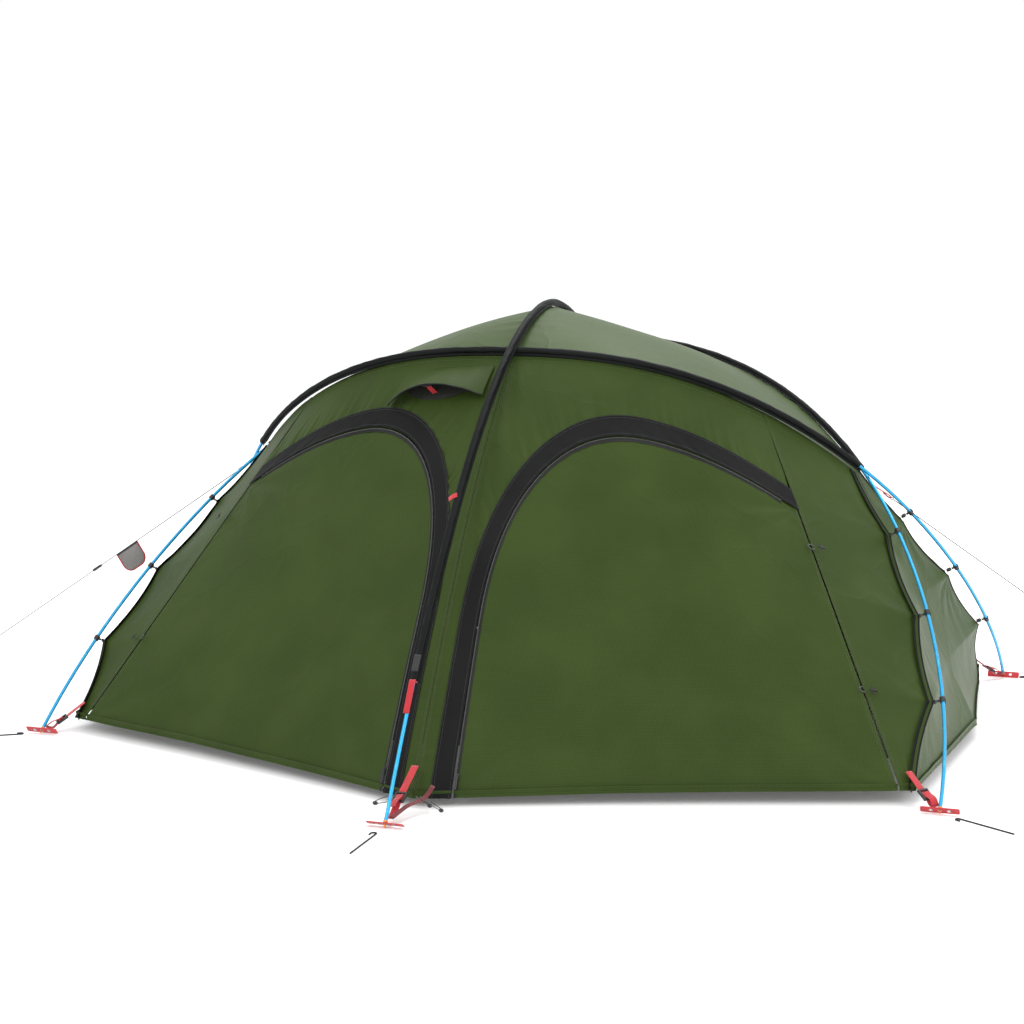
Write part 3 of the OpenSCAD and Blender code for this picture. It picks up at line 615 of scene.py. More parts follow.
def leg_grid(seed):
    f, j = np.meshgrid(np.linspace(0, 1, 161), np.linspace(0, 1, 30), indexing="ij")
    a = HINGE_TOP + (HINGE_FOOT - HINGE_TOP) * f[..., None] + [0.0016, 0, 0]
    b = ridge(f) - [0, 0.0008, 0]
    flat = a + (b - a) * j[..., None]
    top_u = 0.55 + (SLEEVE_END - 0.55) * j
    rise = front_edge(top_u)[0:1] - flat[0:1]
    flat = flat + rise * np.exp(-(f[..., None] / 0.12) ** 2) * (4 * j * (1 - j) > 0)[..., None]
    across = lengths(flat, 1)
    back = across[:, -1:] - across
    edge = np.minimum(across, back)
    fan = np.zeros_like(across)
    for k, anchor in enumerate(ANCHORS[1:]):
        d = flat - anchor
        r = np.linalg.norm(d, axis=-1)
        angle = np.arctan2(d[..., 2], d[..., 0] + d[..., 1])
        fan += np.sin(9 * angle + seed + k) * np.minimum(r / 0.05, 1) * np.exp(-r / 0.13)
    lift = 0.0034 * fan * (1 - np.exp(-(edge / 0.02) ** 2)) + swell(flat, seed, 0.3,
                                                                    0.002) * (1 - np.exp(-(edge / 0.03) ** 2))
    return flat, raised(flat, lift)


END_FOOT = np.array([1.253, 0, 0.038])
END_TOP = np.array([ANCHORS[0][0], 0, ANCHORS[0][2]])


def end_grid(seed):
    f, j = np.meshgrid(np.linspace(0, 1, 161), np.linspace(-1, 1, 81), indexing="ij")
    c = END_TOP + (END_FOOT - END_TOP) * f[..., None]
    a = ridge(f) + [0, 0.0008, 0]
    b = a * [1, -1, 1]
    k = np.abs(j)[..., None]
    flat = c + (np.where(j[..., None] < 0, a, b) - c) * k
    across = np.minimum(lengths(flat, 1), lengths(flat, 1)[:, -1:] - lengths(flat, 1))
    fan = np.zeros_like(across)
    for sy in (1, -1):
        for m, anchor in enumerate(ANCHORS[1:]):
            d = flat - anchor * [1, sy, 1]
            r = np.linalg.norm(d, axis=-1)
            angle = np.arctan2(d[..., 2], -sy * d[..., 1] + 0.2 * d[..., 0])
            fan += np.sin(10 * angle + seed + m) * np.minimum(r / 0.05, 1) * np.exp(-r / 0.16)
    crease = np.exp(-(k[..., 0] * across.max() / 0.02) ** 2) * 0.002
    lift = 0.0022 * fan * (1 - np.exp(-(across / 0.02) ** 2)) + crease \
        + swell(flat, seed, 0.4, 0.0025) * (1 - np.exp(-(across / 0.04) ** 2))
    return flat, raised(flat, lift)


for index, (side, sign) in enumerate(SIDES.items()):
    flat, shaped = leg_grid(71 + 3 * index)
    shapes[f"leg_{side}"] = shaped
    ob = cloth(f"leg_panel_{side}_cloth", shaped, fly_green, sign=sign)
    declare_cloth(ob, "root", "fly", [f"leg_panel_{side}"])
for index, (side, sx) in enumerate((("left", LEFT), ("right", RIGHT))):
    flat, shaped = end_grid(91 + 3 * index)
    shapes[f"end_{side}"] = shaped
    # End panels take the paler roof green, which is painted light.
    ob = cloth(f"end_panel_{side}_cloth", shaped, roof_green_painted_light, sign=(sx, 1))
    declare_cloth(ob, "root", "roof", [f"end_panel_{side}"])


# ---------------------------------------------------------------- roof
# Two halves meet under the cross pole's tunnel, which draws them up into a saddle between
# the tunnels of the long poles.
def roof_grid(seed):
    i, k = np.meshgrid(np.linspace(0, 1, 100), np.linspace(-1, 1, 90), indexing="ij")
    e = front_edge(SLEEVE_END * i)
    rise = APEX - HANG - front_edge(np.array(0.0))[2]
    hump = rise * (1 - i) ** 2 * (1 - np.abs(k) ** 1.7)
    flat = np.stack([e[..., 0] + 0.0004 * (1 - i), -(e[..., 1] + 0.001) * k, e[..., 2] + hump], -1)
    across = np.minimum(lengths(flat, 1), lengths(flat, 1)[:, -1:] - lengths(flat, 1))
    s = lengths(flat, 0)
    sewn = sines(s, seed, ((0.045, 1.0), (0.07, 0.8),
                           (0.11, 0.6))) * np.exp(-across / 0.05) * (1 - np.exp(-(across / 0.01) ** 2))
    by_cross = sines(lengths(flat, 1), seed + 1, ((0.05, 1.0),
                                                  (0.09, 1.0))) * np.exp(-s / 0.06) * (1
                                                      - np.exp(-(s / 0.01) ** 2))
    lift = 0.0013 * sewn + 0.0015 * by_cross + swell(flat, seed, 0.35,
                                                     0.003) * (1 - np.exp(-(across / 0.05) ** 2))
    return flat, raised(flat, lift)


for index, (side, sx) in enumerate((("left", LEFT), ("right", RIGHT))):
    flat, shaped = roof_grid(101 + 3 * index)
    # Roof halves take the paler roof green, which is painted light.
    ob = cloth(f"roof_{side}_cloth", shaped, roof_green_painted_light, sign=(sx, 1))
    declare_cloth(ob, "root", "roof", [f"roof_{side}"])


# ---------------------------------------------------------------- storm flaps
# A strip of grey cloth covers each zip from the hem to the tip at the hinge seam. Its outer
# edge is sewn down, and its inner edge lies free over the zip.
def flap_grid(seed):
    t, j = np.meshgrid(ALONG, np.linspace(0, 1, 14), indexing="ij")
    u, v = zip_uv(t, 1 - j)
    flat = raised(porch(u, v), 0.0028 + 0 * j)
    s = lengths(flat, 0)
    free = j ** 2
    lift = (0.0010 + 0.0022 * np.abs(sines(s, seed, ((0.09, 0.7), (0.21, 0.7))))) * free \
        + 0.0006 * sines(s, seed + 1, ((0.03, 1.0), (0.05, 0.7))) * (1 - j) ** 2 * np.minimum(j / 0.1, 1)
    return flat, raised(flat, lift)


for index, (side, sign) in enumerate(SIDES.items()):
    flat, shaped = flap_grid(121 + 3 * index)
    shapes[f"flap_{side}"] = shaped
    ob = cloth(f"storm_flap_{side}_cloth", shaped, flap_grey, 0.0008, sign=sign)
    declare_cloth(ob, "root", "flap", [f"storm_flap_{side}"])


# ---------------------------------------------------------------- pole tunnels
# Each long sleeve is a tunnel of black cloth sewn to the roof seam; the cross pole's tunnel
# runs over both of them. Its two seam allowances spread to a flat foot on the fly.
def faces_out(me):
    bm = bmesh.new()
    bm.from_mesh(me)
    bmesh.ops.recalc_face_normals(bm, faces=bm.faces)
    bm.to_mesh(me)
    bm.free()


def tunnel_section(spread):
    """Section of a tunnel: a round top on a flat foot, as (sideways, outwards) points."""
    a = np.linspace(-0.25 * math.pi, 1.25 * math.pi, 15)
    top = np.stack([TUNNEL_R * np.cos(a), TUNNEL_R * np.sin(a)], 1)
    foot = np.array([[-spread, -0.0092], [-spread, -0.0100], [spread, -0.0100], [spread, -0.0092]])
    return np.concatenate([top, foot])


def tunnel(name, path, nodes, seed, spread=0.012):
    p = np.asarray(path, float)
    t = unit(np.gradient(p, axis=0))
    out = outward(p, t)
    side = np.cross(t, out)
    section = tunnel_section(spread)
    s = run_of(p)
    n = len(section)
    rough = np.zeros((len(p), n))
    for k in range(15):
        rough[:, k] = sines(s + 0.013 * k, seed, ((0.05, 0.0005), (0.03, 0.0003), (0.11, 0.0005)))
    scale = 1 + rough / TUNNEL_R
    verts = p[:, None] + side[:, None] * (section[None, :, 0] * scale)[..., None] \
        + out[:, None] * (section[None, :, 1] * scale)[..., None]
    rows = len(p)
    faces = [(i * n + k, i * n + (k + 1) % n, (i + 1) * n + (k + 1) % n, (i + 1) * n + k)
             for i in range(rows - 1) for k in range(n)]
    faces += [tuple(range(n - 1, -1, -1)), tuple((rows - 1) * n + k for k in range(n))]
    ob = mesh_object(name, verts.reshape(-1, 3), faces, tunnel_black)
    faces_out(ob.data)
    way = run_of(section)
    uv = ob.data.uv_layers.new(name="cloth")
    for f in ob.data.polygons:
        for k, li in zip(f.vertices, f.loop_indices):
            uv.data[li].uv = (way[k % n], s[min(k // n, rows - 1)])
    hand_over(ob, "root", "sleeve", *nodes)
    return ob


def along_long(side, a, b, n):
    return long_pole(np.interp(np.linspace(a, b, n), ARC_S, ARC_A), side)


def arch_table():
    y = -CROSS_Y * np.cos(np.linspace(0, math.pi, 161))
    s = run_of(arch(y))
    return s / s[-1], y


ARCH_S, ARCH_Y = arch_table()


def along_cross(a, b, n):
    return arch(np.interp(np.linspace(a, b, n), ARCH_S, ARCH_Y))


tunnel("front_sleeve_cloth", along_long(1, 0.262, 0.738, 400), ["front_sleeve"], 131)
tunnel("rear_sleeve_cloth", along_long(-1, 0.262, 0.738, 400), ["rear_sleeve"], 132)
tunnel("cross_sleeve_cloth", along_cross(0.098, 0.902, 560), ["cross_sleeve"], 133)


# ---------------------------------------------------------------- hems and stitching
# Every seam is sewn with twin rows of thread. The hems are turned up and sewn, and the legs'
# scalloped edges are bound with black piping on a strip of dark grey cloth.
def stitch_group():
    """Geometry nodes: a row of short stitches along every edge chain of the mesh it is given."""
    g = bpy.data.node_groups.new("stitch row", "GeometryNodeTree")
    face = g.interface
    face.new_socket(name="Chains", in_out="INPUT", socket_type="NodeSocketGeometry")
    for key, value in (("Pitch", 0.0045), ("Length", 0.0032), ("Radius", 0.00035), ("Wander", 0.0001)):
        face.new_socket(name=key, in_out="INPUT", socket_type="NodeSocketFloat").default_value = value
    face.new_socket(name="Seed", in_out="INPUT", socket_type="NodeSocketInt").default_value = 1
    face.new_socket(name="Material", in_out="INPUT", socket_type="NodeSocketMaterial")
    face.new_socket(name="Stitches", in_out="OUTPUT", socket_type="NodeSocketGeometry")
    n = {k: g.nodes.new(t) for k, t in (
        ("in", "NodeGroupInput"), ("out", "NodeGroupOutput"), ("curve", "GeometryNodeMeshToCurve"),
        ("points", "GeometryNodeCurveToPoints"), ("bar", "GeometryNodeMeshCylinder"),
        ("noise", "FunctionNodeRandomValue"),
        ("move", "GeometryNodeSetPosition"), ("turn", "FunctionNodeAlignRotationToVector"),
        ("copies", "GeometryNodeInstanceOnPoints"), ("real", "GeometryNodeRealizeInstances"),
        ("mat", "GeometryNodeSetMaterial"),
        ("back", "ShaderNodeMath"))}
    n["points"].mode = "LENGTH"
    n["noise"].data_type = "FLOAT_VECTOR"
    n["turn"].axis = "Z"
    n["back"].operation = "MULTIPLY"
    n["back"].inputs[1].default_value = -1
    n["bar"].inputs["Vertices"].default_value = 6
    for a, out, b, into in (
            ("in", "Chains", "curve", "Mesh"), ("curve", "Curve", "points", "Curve"),
            ("in", "Pitch", "points", "Length"), ("in", "Radius", "bar", "Radius"),
            ("in", "Length", "bar", "Depth"), ("in", "Wander", "noise", 1),
            ("in", "Wander", "back", 0), ("back", 0, "noise", 0), ("in", "Seed", "noise", "Seed"),
            ("points", "Points", "move", "Geometry"), ("noise", 0, "move", "Offset"),
            ("points", "Tangent", "turn", "Vector"), ("move", "Geometry", "copies", "Points"),
            ("bar", "Mesh", "copies", "Instance"), ("turn", "Rotation", "copies", "Rotation"),
            ("copies", "Instances", "real", "Geometry"), ("real", "Geometry", "mat", "Geometry"),
            ("in", "Material", "mat", "Material"), ("mat", "Geometry", "out", "Stitches")):
        g.links.new(n[a].outputs[out], n[b].inputs[into])
    return g


STITCH = stitch_group()


def grow(name, chains, mat, body, slot, **values):
    """A piece made by the stitch row along open chains of points."""
    verts, edges = [], []
    for chain in chains:
        base = len(verts)
        verts += [tuple(p) for p in chain]
        edges += [(base + i, base + i + 1) for i in range(len(chain) - 1)]
    me = bpy.data.meshes.new(name)
    me.from_pydata(verts, edges, [])
    ob = bpy.data.objects.new(name, me)
    bpy.context.scene.collection.objects.link(ob)
    mod = ob.modifiers.new("stitch row", "NODES")
    mod.node_group = STITCH
    values["Material"] = mat
    for item in STITCH.interface.items_tree:
        if item.item_type == "SOCKET" and item.in_out == "INPUT" and item.name in values:
            mod[item.identifier] = values[item.name]
    done = bpy.data.meshes.new_from_object(ob.evaluated_get(bpy.context.evaluated_depsgraph_get()))
    ob.modifiers.clear()
    ob.data = done
    hand_over(ob, body, slot)
    return ob


def ribbon(name, path, normal, width, thick, mat, body=None, slot=None, nodes=()):
    """A band with rounded edges along a path. Its face is turned to the normal."""
    p = np.asarray(path, float)
    t = unit(np.gradient(p, axis=0))
    n = np.broadcast_to(np.asarray(normal, float), p.shape)
    n = unit(n - (n * t).sum(-1, keepdims=True) * t)
    side = np.cross(t, n)
    w, h = width / 2, thick / 2
    section = [(-w, 0), (-w + h * 0.4, h * 0.85), (-w + h * 1.5, h), (0, h), (w - h * 1.5, h),
               (w - h * 0.4, h * 0.85),
               (w, 0), (w - h * 0.4, -h * 0.85), (w - h * 1.5, -h), (0, -h), (-w + h * 1.5, -h),
               (-w + h * 0.4, -h * 0.85)]
    k = len(section)
    verts = np.stack([p + a * side + b * n for a, b in section], 1).reshape(-1, 3)
    faces = [(i * k + j, (i + 1) * k + j, (i + 1) * k + (j + 1) % k, i * k + (j + 1) % k)
             for i in range(len(p) - 1) for j in range(k)]
    faces += [tuple(range(k)), tuple((len(p) - 1) * k + j for j in range(k - 1, -1, -1))]
    ob = mesh_object(name, verts, faces, mat)
    faces_out(ob.data)
    s = run_of(p)
    uv = ob.data.uv_layers.new(name="cloth")
    for f in ob.data.polygons:
        for v, li in zip(f.vertices, f.loop_indices):
            uv.data[li].uv = (section[v % k][0] + width, s[v // k])
    if body:
        hand_over(ob, body, slot, *nodes)
    return ob


def join(name, obs, body, slot, nodes=()):
    """Several parts of one piece, as one object."""
    bm = bmesh.new()
    for o in obs:
        bm.from_mesh(o.data)
    me = obs[0].data.copy()
    bm.to_mesh(me)
    bm.free()
    for o in obs:
        bpy.data.objects.remove(o)
    ob = bpy.data.objects.new(name, me)
    bpy.context.scene.collection.objects.link(ob)
    hand_over(ob, body, slot, *nodes)
    return ob


def thread_material(name, colour):
    """Sewing thread: fine flecks of lighter fibre and a twisted bump."""
    m = material(name, colour, 0.7, Sheen_Weight=0.3)
    t = m.node_tree
    co = node(t, "ShaderNodeTexCoord")
    fleck = node(t, "ShaderNodeTexNoise", Scale=900.0)
    t.links.new(co.outputs["Object"], fleck.inputs["Vector"])
    t.links.new(mix_colour(t, fleck.outputs["Fac"], colour, tuple(min(1, c * 1.9 + 0.02) for c in colour)),
                t.nodes["Principled BSDF"].inputs["Base Color"])
    bump = node(t, "ShaderNodeBump", Strength=0.4, Distance=0.0002)
    t.links.new(fleck.outputs["Fac"], bump.inputs["Height"])
    t.links.new(bump.outputs[0], t.nodes["Principled BSDF"].inputs["Normal"])
    return m


green_thread = thread_material("green thread", (0.035, 0.055, 0.015))
dark_thread = thread_material("dark thread", (0.018, 0.018, 0.02))
piping_black = cloth_material("black binding", (0.010, 0.010, 0.011), (0.017, 0.017, 0.019), 0.55,
                              ripstop=0.02, grid_pale=0.0)


def row_on(grid, i=None, j=None, lift=0.0004, frac=None):
    """A line of points just over a shaped grid, along a row, a column, or a share of the way across."""
    if frac is not None:
        k = frac * (grid.shape[1] - 1)
        a = int(min(k, grid.shape[1] - 2))
        line = grid[:, a] + (grid[:, a + 1] - grid[:, a]) * (k - a)
    else:
        line = grid[i] if i is not None else grid[:, j]
    return line + lift * unit(line - MIDDLE)


def shifted(line, toward, by):
    """A line moved a set distance towards the matching points of another line."""
    return line + by * unit(toward - line)


for side, sign in SIDES.items():
    turn = np.array([sign[0], sign[1], 1.0])
    surround, door, leg, flap = (shapes[f"{k}_{side}"] for k in ("surround", "door", "leg", "flap"))
    rows = [row_on(flap, frac=f) for f in (0.03, 0.13, 0.90)]
    grow(f"flap_stitching_{side}", [c * turn for c in rows], dark_thread, "root", "flap", Seed=3)
    rows = [row_on(surround, frac=f) for f in (0.045, 0.09)]
    rows += [shifted(row_on(leg, j=0), row_on(leg, j=2), d) for d in (0.003, 0.009)]
    rows += [shifted(row_on(surround, i=0), row_on(surround, i=14), d) for d in (0.012, 0.017)]
    rows += [shifted(row_on(leg, i=-1), row_on(leg, i=-16), d) for d in (0.012, 0.017)]
    grow(f"fly_stitching_{side}", [c * turn for c in rows], green_thread, "root", "fly", Seed=5)
    rows = [shifted(row_on(door, i=0), row_on(door, i=20), d) for d in (0.012, 0.017)]
    rows += [shifted(row_on(door, j=-1), row_on(door, j=-6), d) for d in (0.004, 0.010)]
    grow(f"door_stitching_{side}", [c * turn for c in rows], green_thread, f"door_{side}", "fly", Seed=7)
    for key, grid, body in (("surround", surround, "root"), ("door", door, f"door_{side}"),
                            ("leg", leg, "root")):
        low = row_on(grid, i=-1, lift=0.0008) if key == "leg" else row_on(grid, i=0, lift=0.0008)
        up = row_on(grid, i=-16) if key == "leg" else row_on(grid, i=20 if key == "door" else 14)
        mid = shifted(low, up, 0.0095)
        ribbon(f"hem_{key}_{side}", mid * turn, (mid - MIDDLE) * turn, 0.021, 0.0012, fly_green, body, "fly")
    edge = row_on(leg, j=-1, lift=0)
    inward = row_on(leg, j=-5, lift=0)
    strip = shifted(edge, inward, 0.013)
    strip = strip + 0.0012 * unit(strip - MIDDLE)
    ribbon(f"ridge_strip_{side}", strip * turn, (strip - MIDDLE) * turn, 0.024, 0.0010, flap_grey, "root",
           "flap")
    piping = tube(f"ridge_piping_{side}", edge * turn, 0.0022, piping_black, 10)
    hand_over(piping, "root", "sleeve")
for side, sx in (("left", LEFT), ("right", RIGHT)):
    grid = shapes[f"end_{side}"]
    turn = np.array([sx, 1.0, 1.0])
    low, up = row_on(grid, i=-1, lift=0.0008), row_on(grid, i=-14)
    mid = shifted(low, up, 0.0095)
    # The end hem takes the paler roof green, which is painted light.
    ribbon(f"hem_end_{side}", mid * turn, (mid - MIDDLE) * turn, 0.021, 0.0012, roof_green_painted_light, "root", "roof")
    rows = [shifted(row_on(grid, i=-1), up, d) for d in (0.012, 0.017)]
    rows += [shifted(row_on(grid, j=j), row_on(grid, j=j + (4 if j == 0 else -4)), 0.006) for j in (0, -1)]
    grow(f"end_stitching_{side}", [c * turn for c in rows], green_thread, "root", "roof", Seed=9)


# ---------------------------------------------------------------- zips
# A coil zip on a woven tape follows each door's curved edge under its flap. Its slider runs
# on the coil with a folding pull.
def zip_line(t, k, lift):
    u, v = zip_uv(t, -0.06 - 0.02 - k * 0.16)
    return raised(porch(u, v), lift + 0 * np.asarray(t, float))


zip_black = cloth_material("zip tape", (0.012, 0.012, 0.012), (0.02, 0.02, 0.02), 0.6, ripstop=0.004,
                           grid_pale=0.03)
coil_black = thread_material("zip coil", (0.02, 0.02, 0.021))
for side, sign in SIDES.items():
    turn = np.array([sign[0], sign[1], 1.0])
    t = np.linspace(0, 0.97, 240)
    door = shapes[f"door_{side}"]
    tape = np.stack([zip_line(t, k, 0.0016) for k in np.linspace(0, 1, 5)], 1)
    ob = cloth(f"zip_tape_{side}", tape, zip_black, 0.0008, sign=sign)
    declare_cloth(ob, f"door_{side}", "zip", [f"zip_{side}"])
    grow(f"zip_coil_{side}", [zip_line(t, 0.08, 0.0030) * turn], coil_black, f"door_{side}", "zip",
         Pitch=0.0021, Length=0.0014, Radius=0.0017, Wander=0.0, Seed=2)


# ---------------------------------------------------------------- poles, tips and hard parts
# Three shock-corded poles of blue anodised tube, with orange tips, black moulded clips and
# buckles, and bare or blackened metal for rings, sliders and pegs.
def wear_group():
    """Rub marks and fine scratches for metal and moulded plastic, as a mask and a height."""
    g, gin, gout = group("handling wear", [("Scale", "NodeSocketFloat", 40.0)],
                         [("Mask", "NodeSocketFloat"), ("Height", "NodeSocketFloat")])
    co = g.nodes.new("ShaderNodeTexCoord")
    big, fine = g.nodes.new("ShaderNodeTexNoise"), g.nodes.new("ShaderNodeTexNoise")
    for n, k, d in ((big, 1.0, 6.0), (fine, 9.0, 2.0)):
        n.inputs["Detail"].default_value = d
        n.inputs["Roughness"].default_value = 0.65
        g.links.new(co.outputs["Object"], n.inputs["Vector"])
        g.links.new(math_node(g, "MULTIPLY", gin.outputs["Scale"], k), n.inputs["Scale"])
    mask = math_node(g, "MULTIPLY", math_node(g, "SUBTRACT", big.outputs["Fac"], 0.55), 6.0, True)
    g.links.new(mask, gout.inputs["Mask"])
    g.links.new(math_node(g, "ADD", fine.outputs["Fac"], math_node(g, "MULTIPLY", big.outputs["Fac"], 0.5)),
                gout.inputs["Height"])
    return g


WEAR = wear_group()


def hard_material(name, colour, worn, roughness, metallic=0.0, scale=40.0, bump=0.15, **sockets):
    """Metal or plastic: a worn shade in patches, roughness that varies, and a fine bump."""
    m = material(name, colour, roughness, metallic, **sockets)
    t = m.node_tree
    p = t.nodes["Principled BSDF"]
    w = effect(t, WEAR, Scale=scale)
    t.links.new(mix_colour(t, w.outputs["Mask"], colour, worn), p.inputs["Base Color"])
    t.links.new(math_node(t, "ADD", math_node(t, "MULTIPLY", w.outputs["Mask"], 0.18), roughness - 0.04),
                p.inputs["Roughness"])
    b = node(t, "ShaderNodeBump", Strength=bump, Distance=0.0004)
    t.links.new(w.outputs["Height"], b.inputs["Height"])
    t.links.new(b.outputs[0], p.inputs["Normal"])
    return m


def dress(mat, *names):
    for name in names:
        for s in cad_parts[name].material_slots:
            s.material = mat


anodised_blue = hard_material("anodised blue", (0.018, 0.36, 0.68), (0.05, 0.45, 0.74), 0.30, 0.55, 25.0,
                              0.08,
                              Coat_Weight=0.3, Coat_Roughness=0.2)
tip_orange = hard_material("anodised orange", (0.80, 0.22, 0.03), (0.62, 0.20, 0.07), 0.35, 0.6, 120.0)
bright_metal = hard_material("nickel plate", (0.60, 0.61, 0.62), (0.40, 0.40, 0.39), 0.32, 1.0, 150.0)
black_metal = hard_material("blackened wire", (0.020, 0.020, 0.022), (0.09, 0.09, 0.09), 0.42, 0.6, 90.0,
                            0.25)
black_plastic = hard_material("moulded black plastic", (0.012, 0.012, 0.013), (0.030, 0.030, 0.030), 0.45,
                              0.0, 160.0, 0.3)
dress(anodised_blue, "front_pole", "rear_pole", "cross_pole")
dress(tip_orange, "pole_tips")
dress(bright_metal, "pole_ferrules", "grommets")
dress(black_metal, "clip_rings", "guy_pegs", "foot_pegs", "zip_slider_front_left", "zip_slider_front_right",
      "zip_slider_rear_left", "zip_slider_rear_right")
dress(black_plastic, "pole_clips", "ladder_buckles", "line_lock_left", "line_lock_right", "door_toggles")
dress(thread_material("shock cord sheath", (0.02, 0.02, 0.022)), "shock_cords")


# ---------------------------------------------------------------- webbing
# Red 20 mm webbing ties each foot: a crossbar with three grommets under the pole's pin, and
# a strap through a ladder lock up to the fly, with a free tail. Black tabs hold the clip rings.
def webbing_group():
    """Woven tape: ribs across it and a herringbone along it."""
    g, gin, gout = group("tape weave", [("Pitch", "NodeSocketFloat", 0.0016)],
                         [("Height", "NodeSocketFloat")])
    uv = g.nodes.new("ShaderNodeUVMap")
    uv.uv_map = "cloth"
    sep = g.nodes.new("ShaderNodeSeparateXYZ")
    g.links.new(uv.outputs[0], sep.inputs[0])
    zig = math_node(g, "PINGPONG", sep.outputs[0], 0.0025)
    run = math_node(g, "ADD", sep.outputs[1], zig)
    rib = math_node(g, "SINE", math_node(g, "DIVIDE", math_node(g, "MULTIPLY", run, 2 * math.pi),
                                         gin.outputs["Pitch"]))
    g.links.new(rib, gout.inputs["Height"])
    return g


TAPE = webbing_group()


def webbing_material(name, colour, dark, pitch=0.0016):
    m = material(name, colour, 0.62, Sheen_Weight=0.35, Sheen_Roughness=0.4)
    t = m.node_tree
    p = t.nodes["Principled BSDF"]
    w = effect(t, TAPE, Pitch=pitch)
    c = effect(t, CREASE, Scale=30.0)
    # The tape is darker in the grooves between its ribs, which is painted shade. It is also darker or paler
    # in soft patches from the mottle, which is the tape's uneven tone.
    shade = math_node(t, "ADD", math_node(t, "MULTIPLY", w.outputs["Height"], 0.25),
                      math_node(t, "MULTIPLY", c.outputs["Mottle"], 0.9), True)
    t.links.new(mix_colour(t, shade, dark, colour), p.inputs["Base Color"])
    b = node(t, "ShaderNodeBump", Strength=0.5, Distance=0.0004)
    t.links.new(w.outputs["Height"], b.inputs["Height"])
    t.links.new(b.outputs[0], p.inputs["Normal"])
    return m


red_webbing = webbing_material("red webbing", (0.62, 0.010, 0.022), (0.40, 0.006, 0.014))
dark_red = webbing_material("dark red webbing", (0.20, 0.008, 0.016), (0.10, 0.005, 0.010))
black_webbing = webbing_material("black webbing", (0.016, 0.016, 0.017), (0.008, 0.008, 0.009))
FEET = [(long_pole(np.array(e * math.pi / 2), k), unit(long_pole(np.array(e * math.pi / 2), k)
         - long_pole(np.array(e * (math.pi / 2 - 0.02)), k))) for k in (-1, 1) for e in (-1, 1)]
FEET += [(arch(e * CROSS_Y), unit(arch(e * CROSS_Y) - arch(e * (CROSS_Y - 0.002)))) for e in (-1, 1)]


def foot_axes(foot):
    o, down = foot
    z = unit(np.array([0, 0, 1.0]) - down[2] * down)
    return o, np.cross(down, z), down, -z


def crossbar(name, foot):
    """A bar of webbing with three holes, square to the pole's pin."""
    o, x, down, y = foot_axes(foot)
    bm = bmesh.new()
    loops = []
    half, wide, r, n = 0.048, 0.010, 0.0051, 20
    round_off = 0.003
    loops.append([(sx * (half - round_off + round_off * math.cos(q * math.pi / 6)),
                   sy * (wide - round_off + round_off * math.sin(q * math.pi / 6)))
                  for sx, sy in ((1, 1), (-1, 1), (-1, -1), (1, -1)) for q in range(4)[::sx * sy]])
    for cx in (-0.022, 0.0, 0.022):
        loops.append([(cx + r * math.cos(2 * math.pi * i / n),
                       r * math.sin(2 * math.pi * i / n)) for i in range(n)])
    edges = []
    for loop in loops:
        vs = [bm.verts.new((a, b, 0)) for a, b in loop]
        edges += [bm.edges.new((vs[i], vs[(i + 1) % len(vs)])) for i in range(len(vs))]
    bmesh.ops.triangle_fill(bm, edges=edges, use_beauty=True)
    out = bmesh.ops.extrude_face_region(bm, geom=list(bm.faces))
    for v in [g for g in out["geom"] if isinstance(g, bmesh.types.BMVert)]:
        v.co.z += 0.002
    bmesh.ops.recalc_face_normals(bm, faces=bm.faces)
    me = bpy.data.meshes.new(name)
    uv = bm.loops.layers.uv.new("cloth")
    for f in bm.faces:
        for l in f.loops:
            l[uv].uv = (l.vert.co.y + 0.010, l.vert.co.x)
    for v in bm.verts:
        a, b, c = v.co
        v.co = Vector(o + a * x + b * y + (0.007 + c) * down)
    bmesh.ops.recalc_face_normals(bm, faces=bm.faces)
    bm.to_mesh(me)
    bm.free()
    me.materials.append(red_webbing)
    ob = bpy.data.objects.new(name, me)
    bpy.context.scene.collection.objects.link(ob)
    return ob


join("crossbar_webbing", [crossbar(f"bar_{i}", f) for i, f in enumerate(FEET)], "root", "webbing",
     ["crossbars"])


def bend(points, n=24):
    """A smooth line through a few points."""
    p = np.asarray(points, float)
    s = run_of(p)
    m = np.gradient(p, s, axis=0)
    out = []
    for x in np.linspace(0, s[-1], n):
        i = min(len(p) - 2, int(np.searchsorted(s, x, side="right")) - 1)
        h = s[i + 1] - s[i]
        g = (x - s[i]) / h
        out.append((2 * g**3 - 3 * g**2 + 1) * p[i] + (g**3 - 2 * g**2 + g) * h * m[i]
                   + (3 * g**2 - 2 * g**3) * p[i + 1] + (g**3 - g**2) * h * m[i + 1])
    return np.array(out)


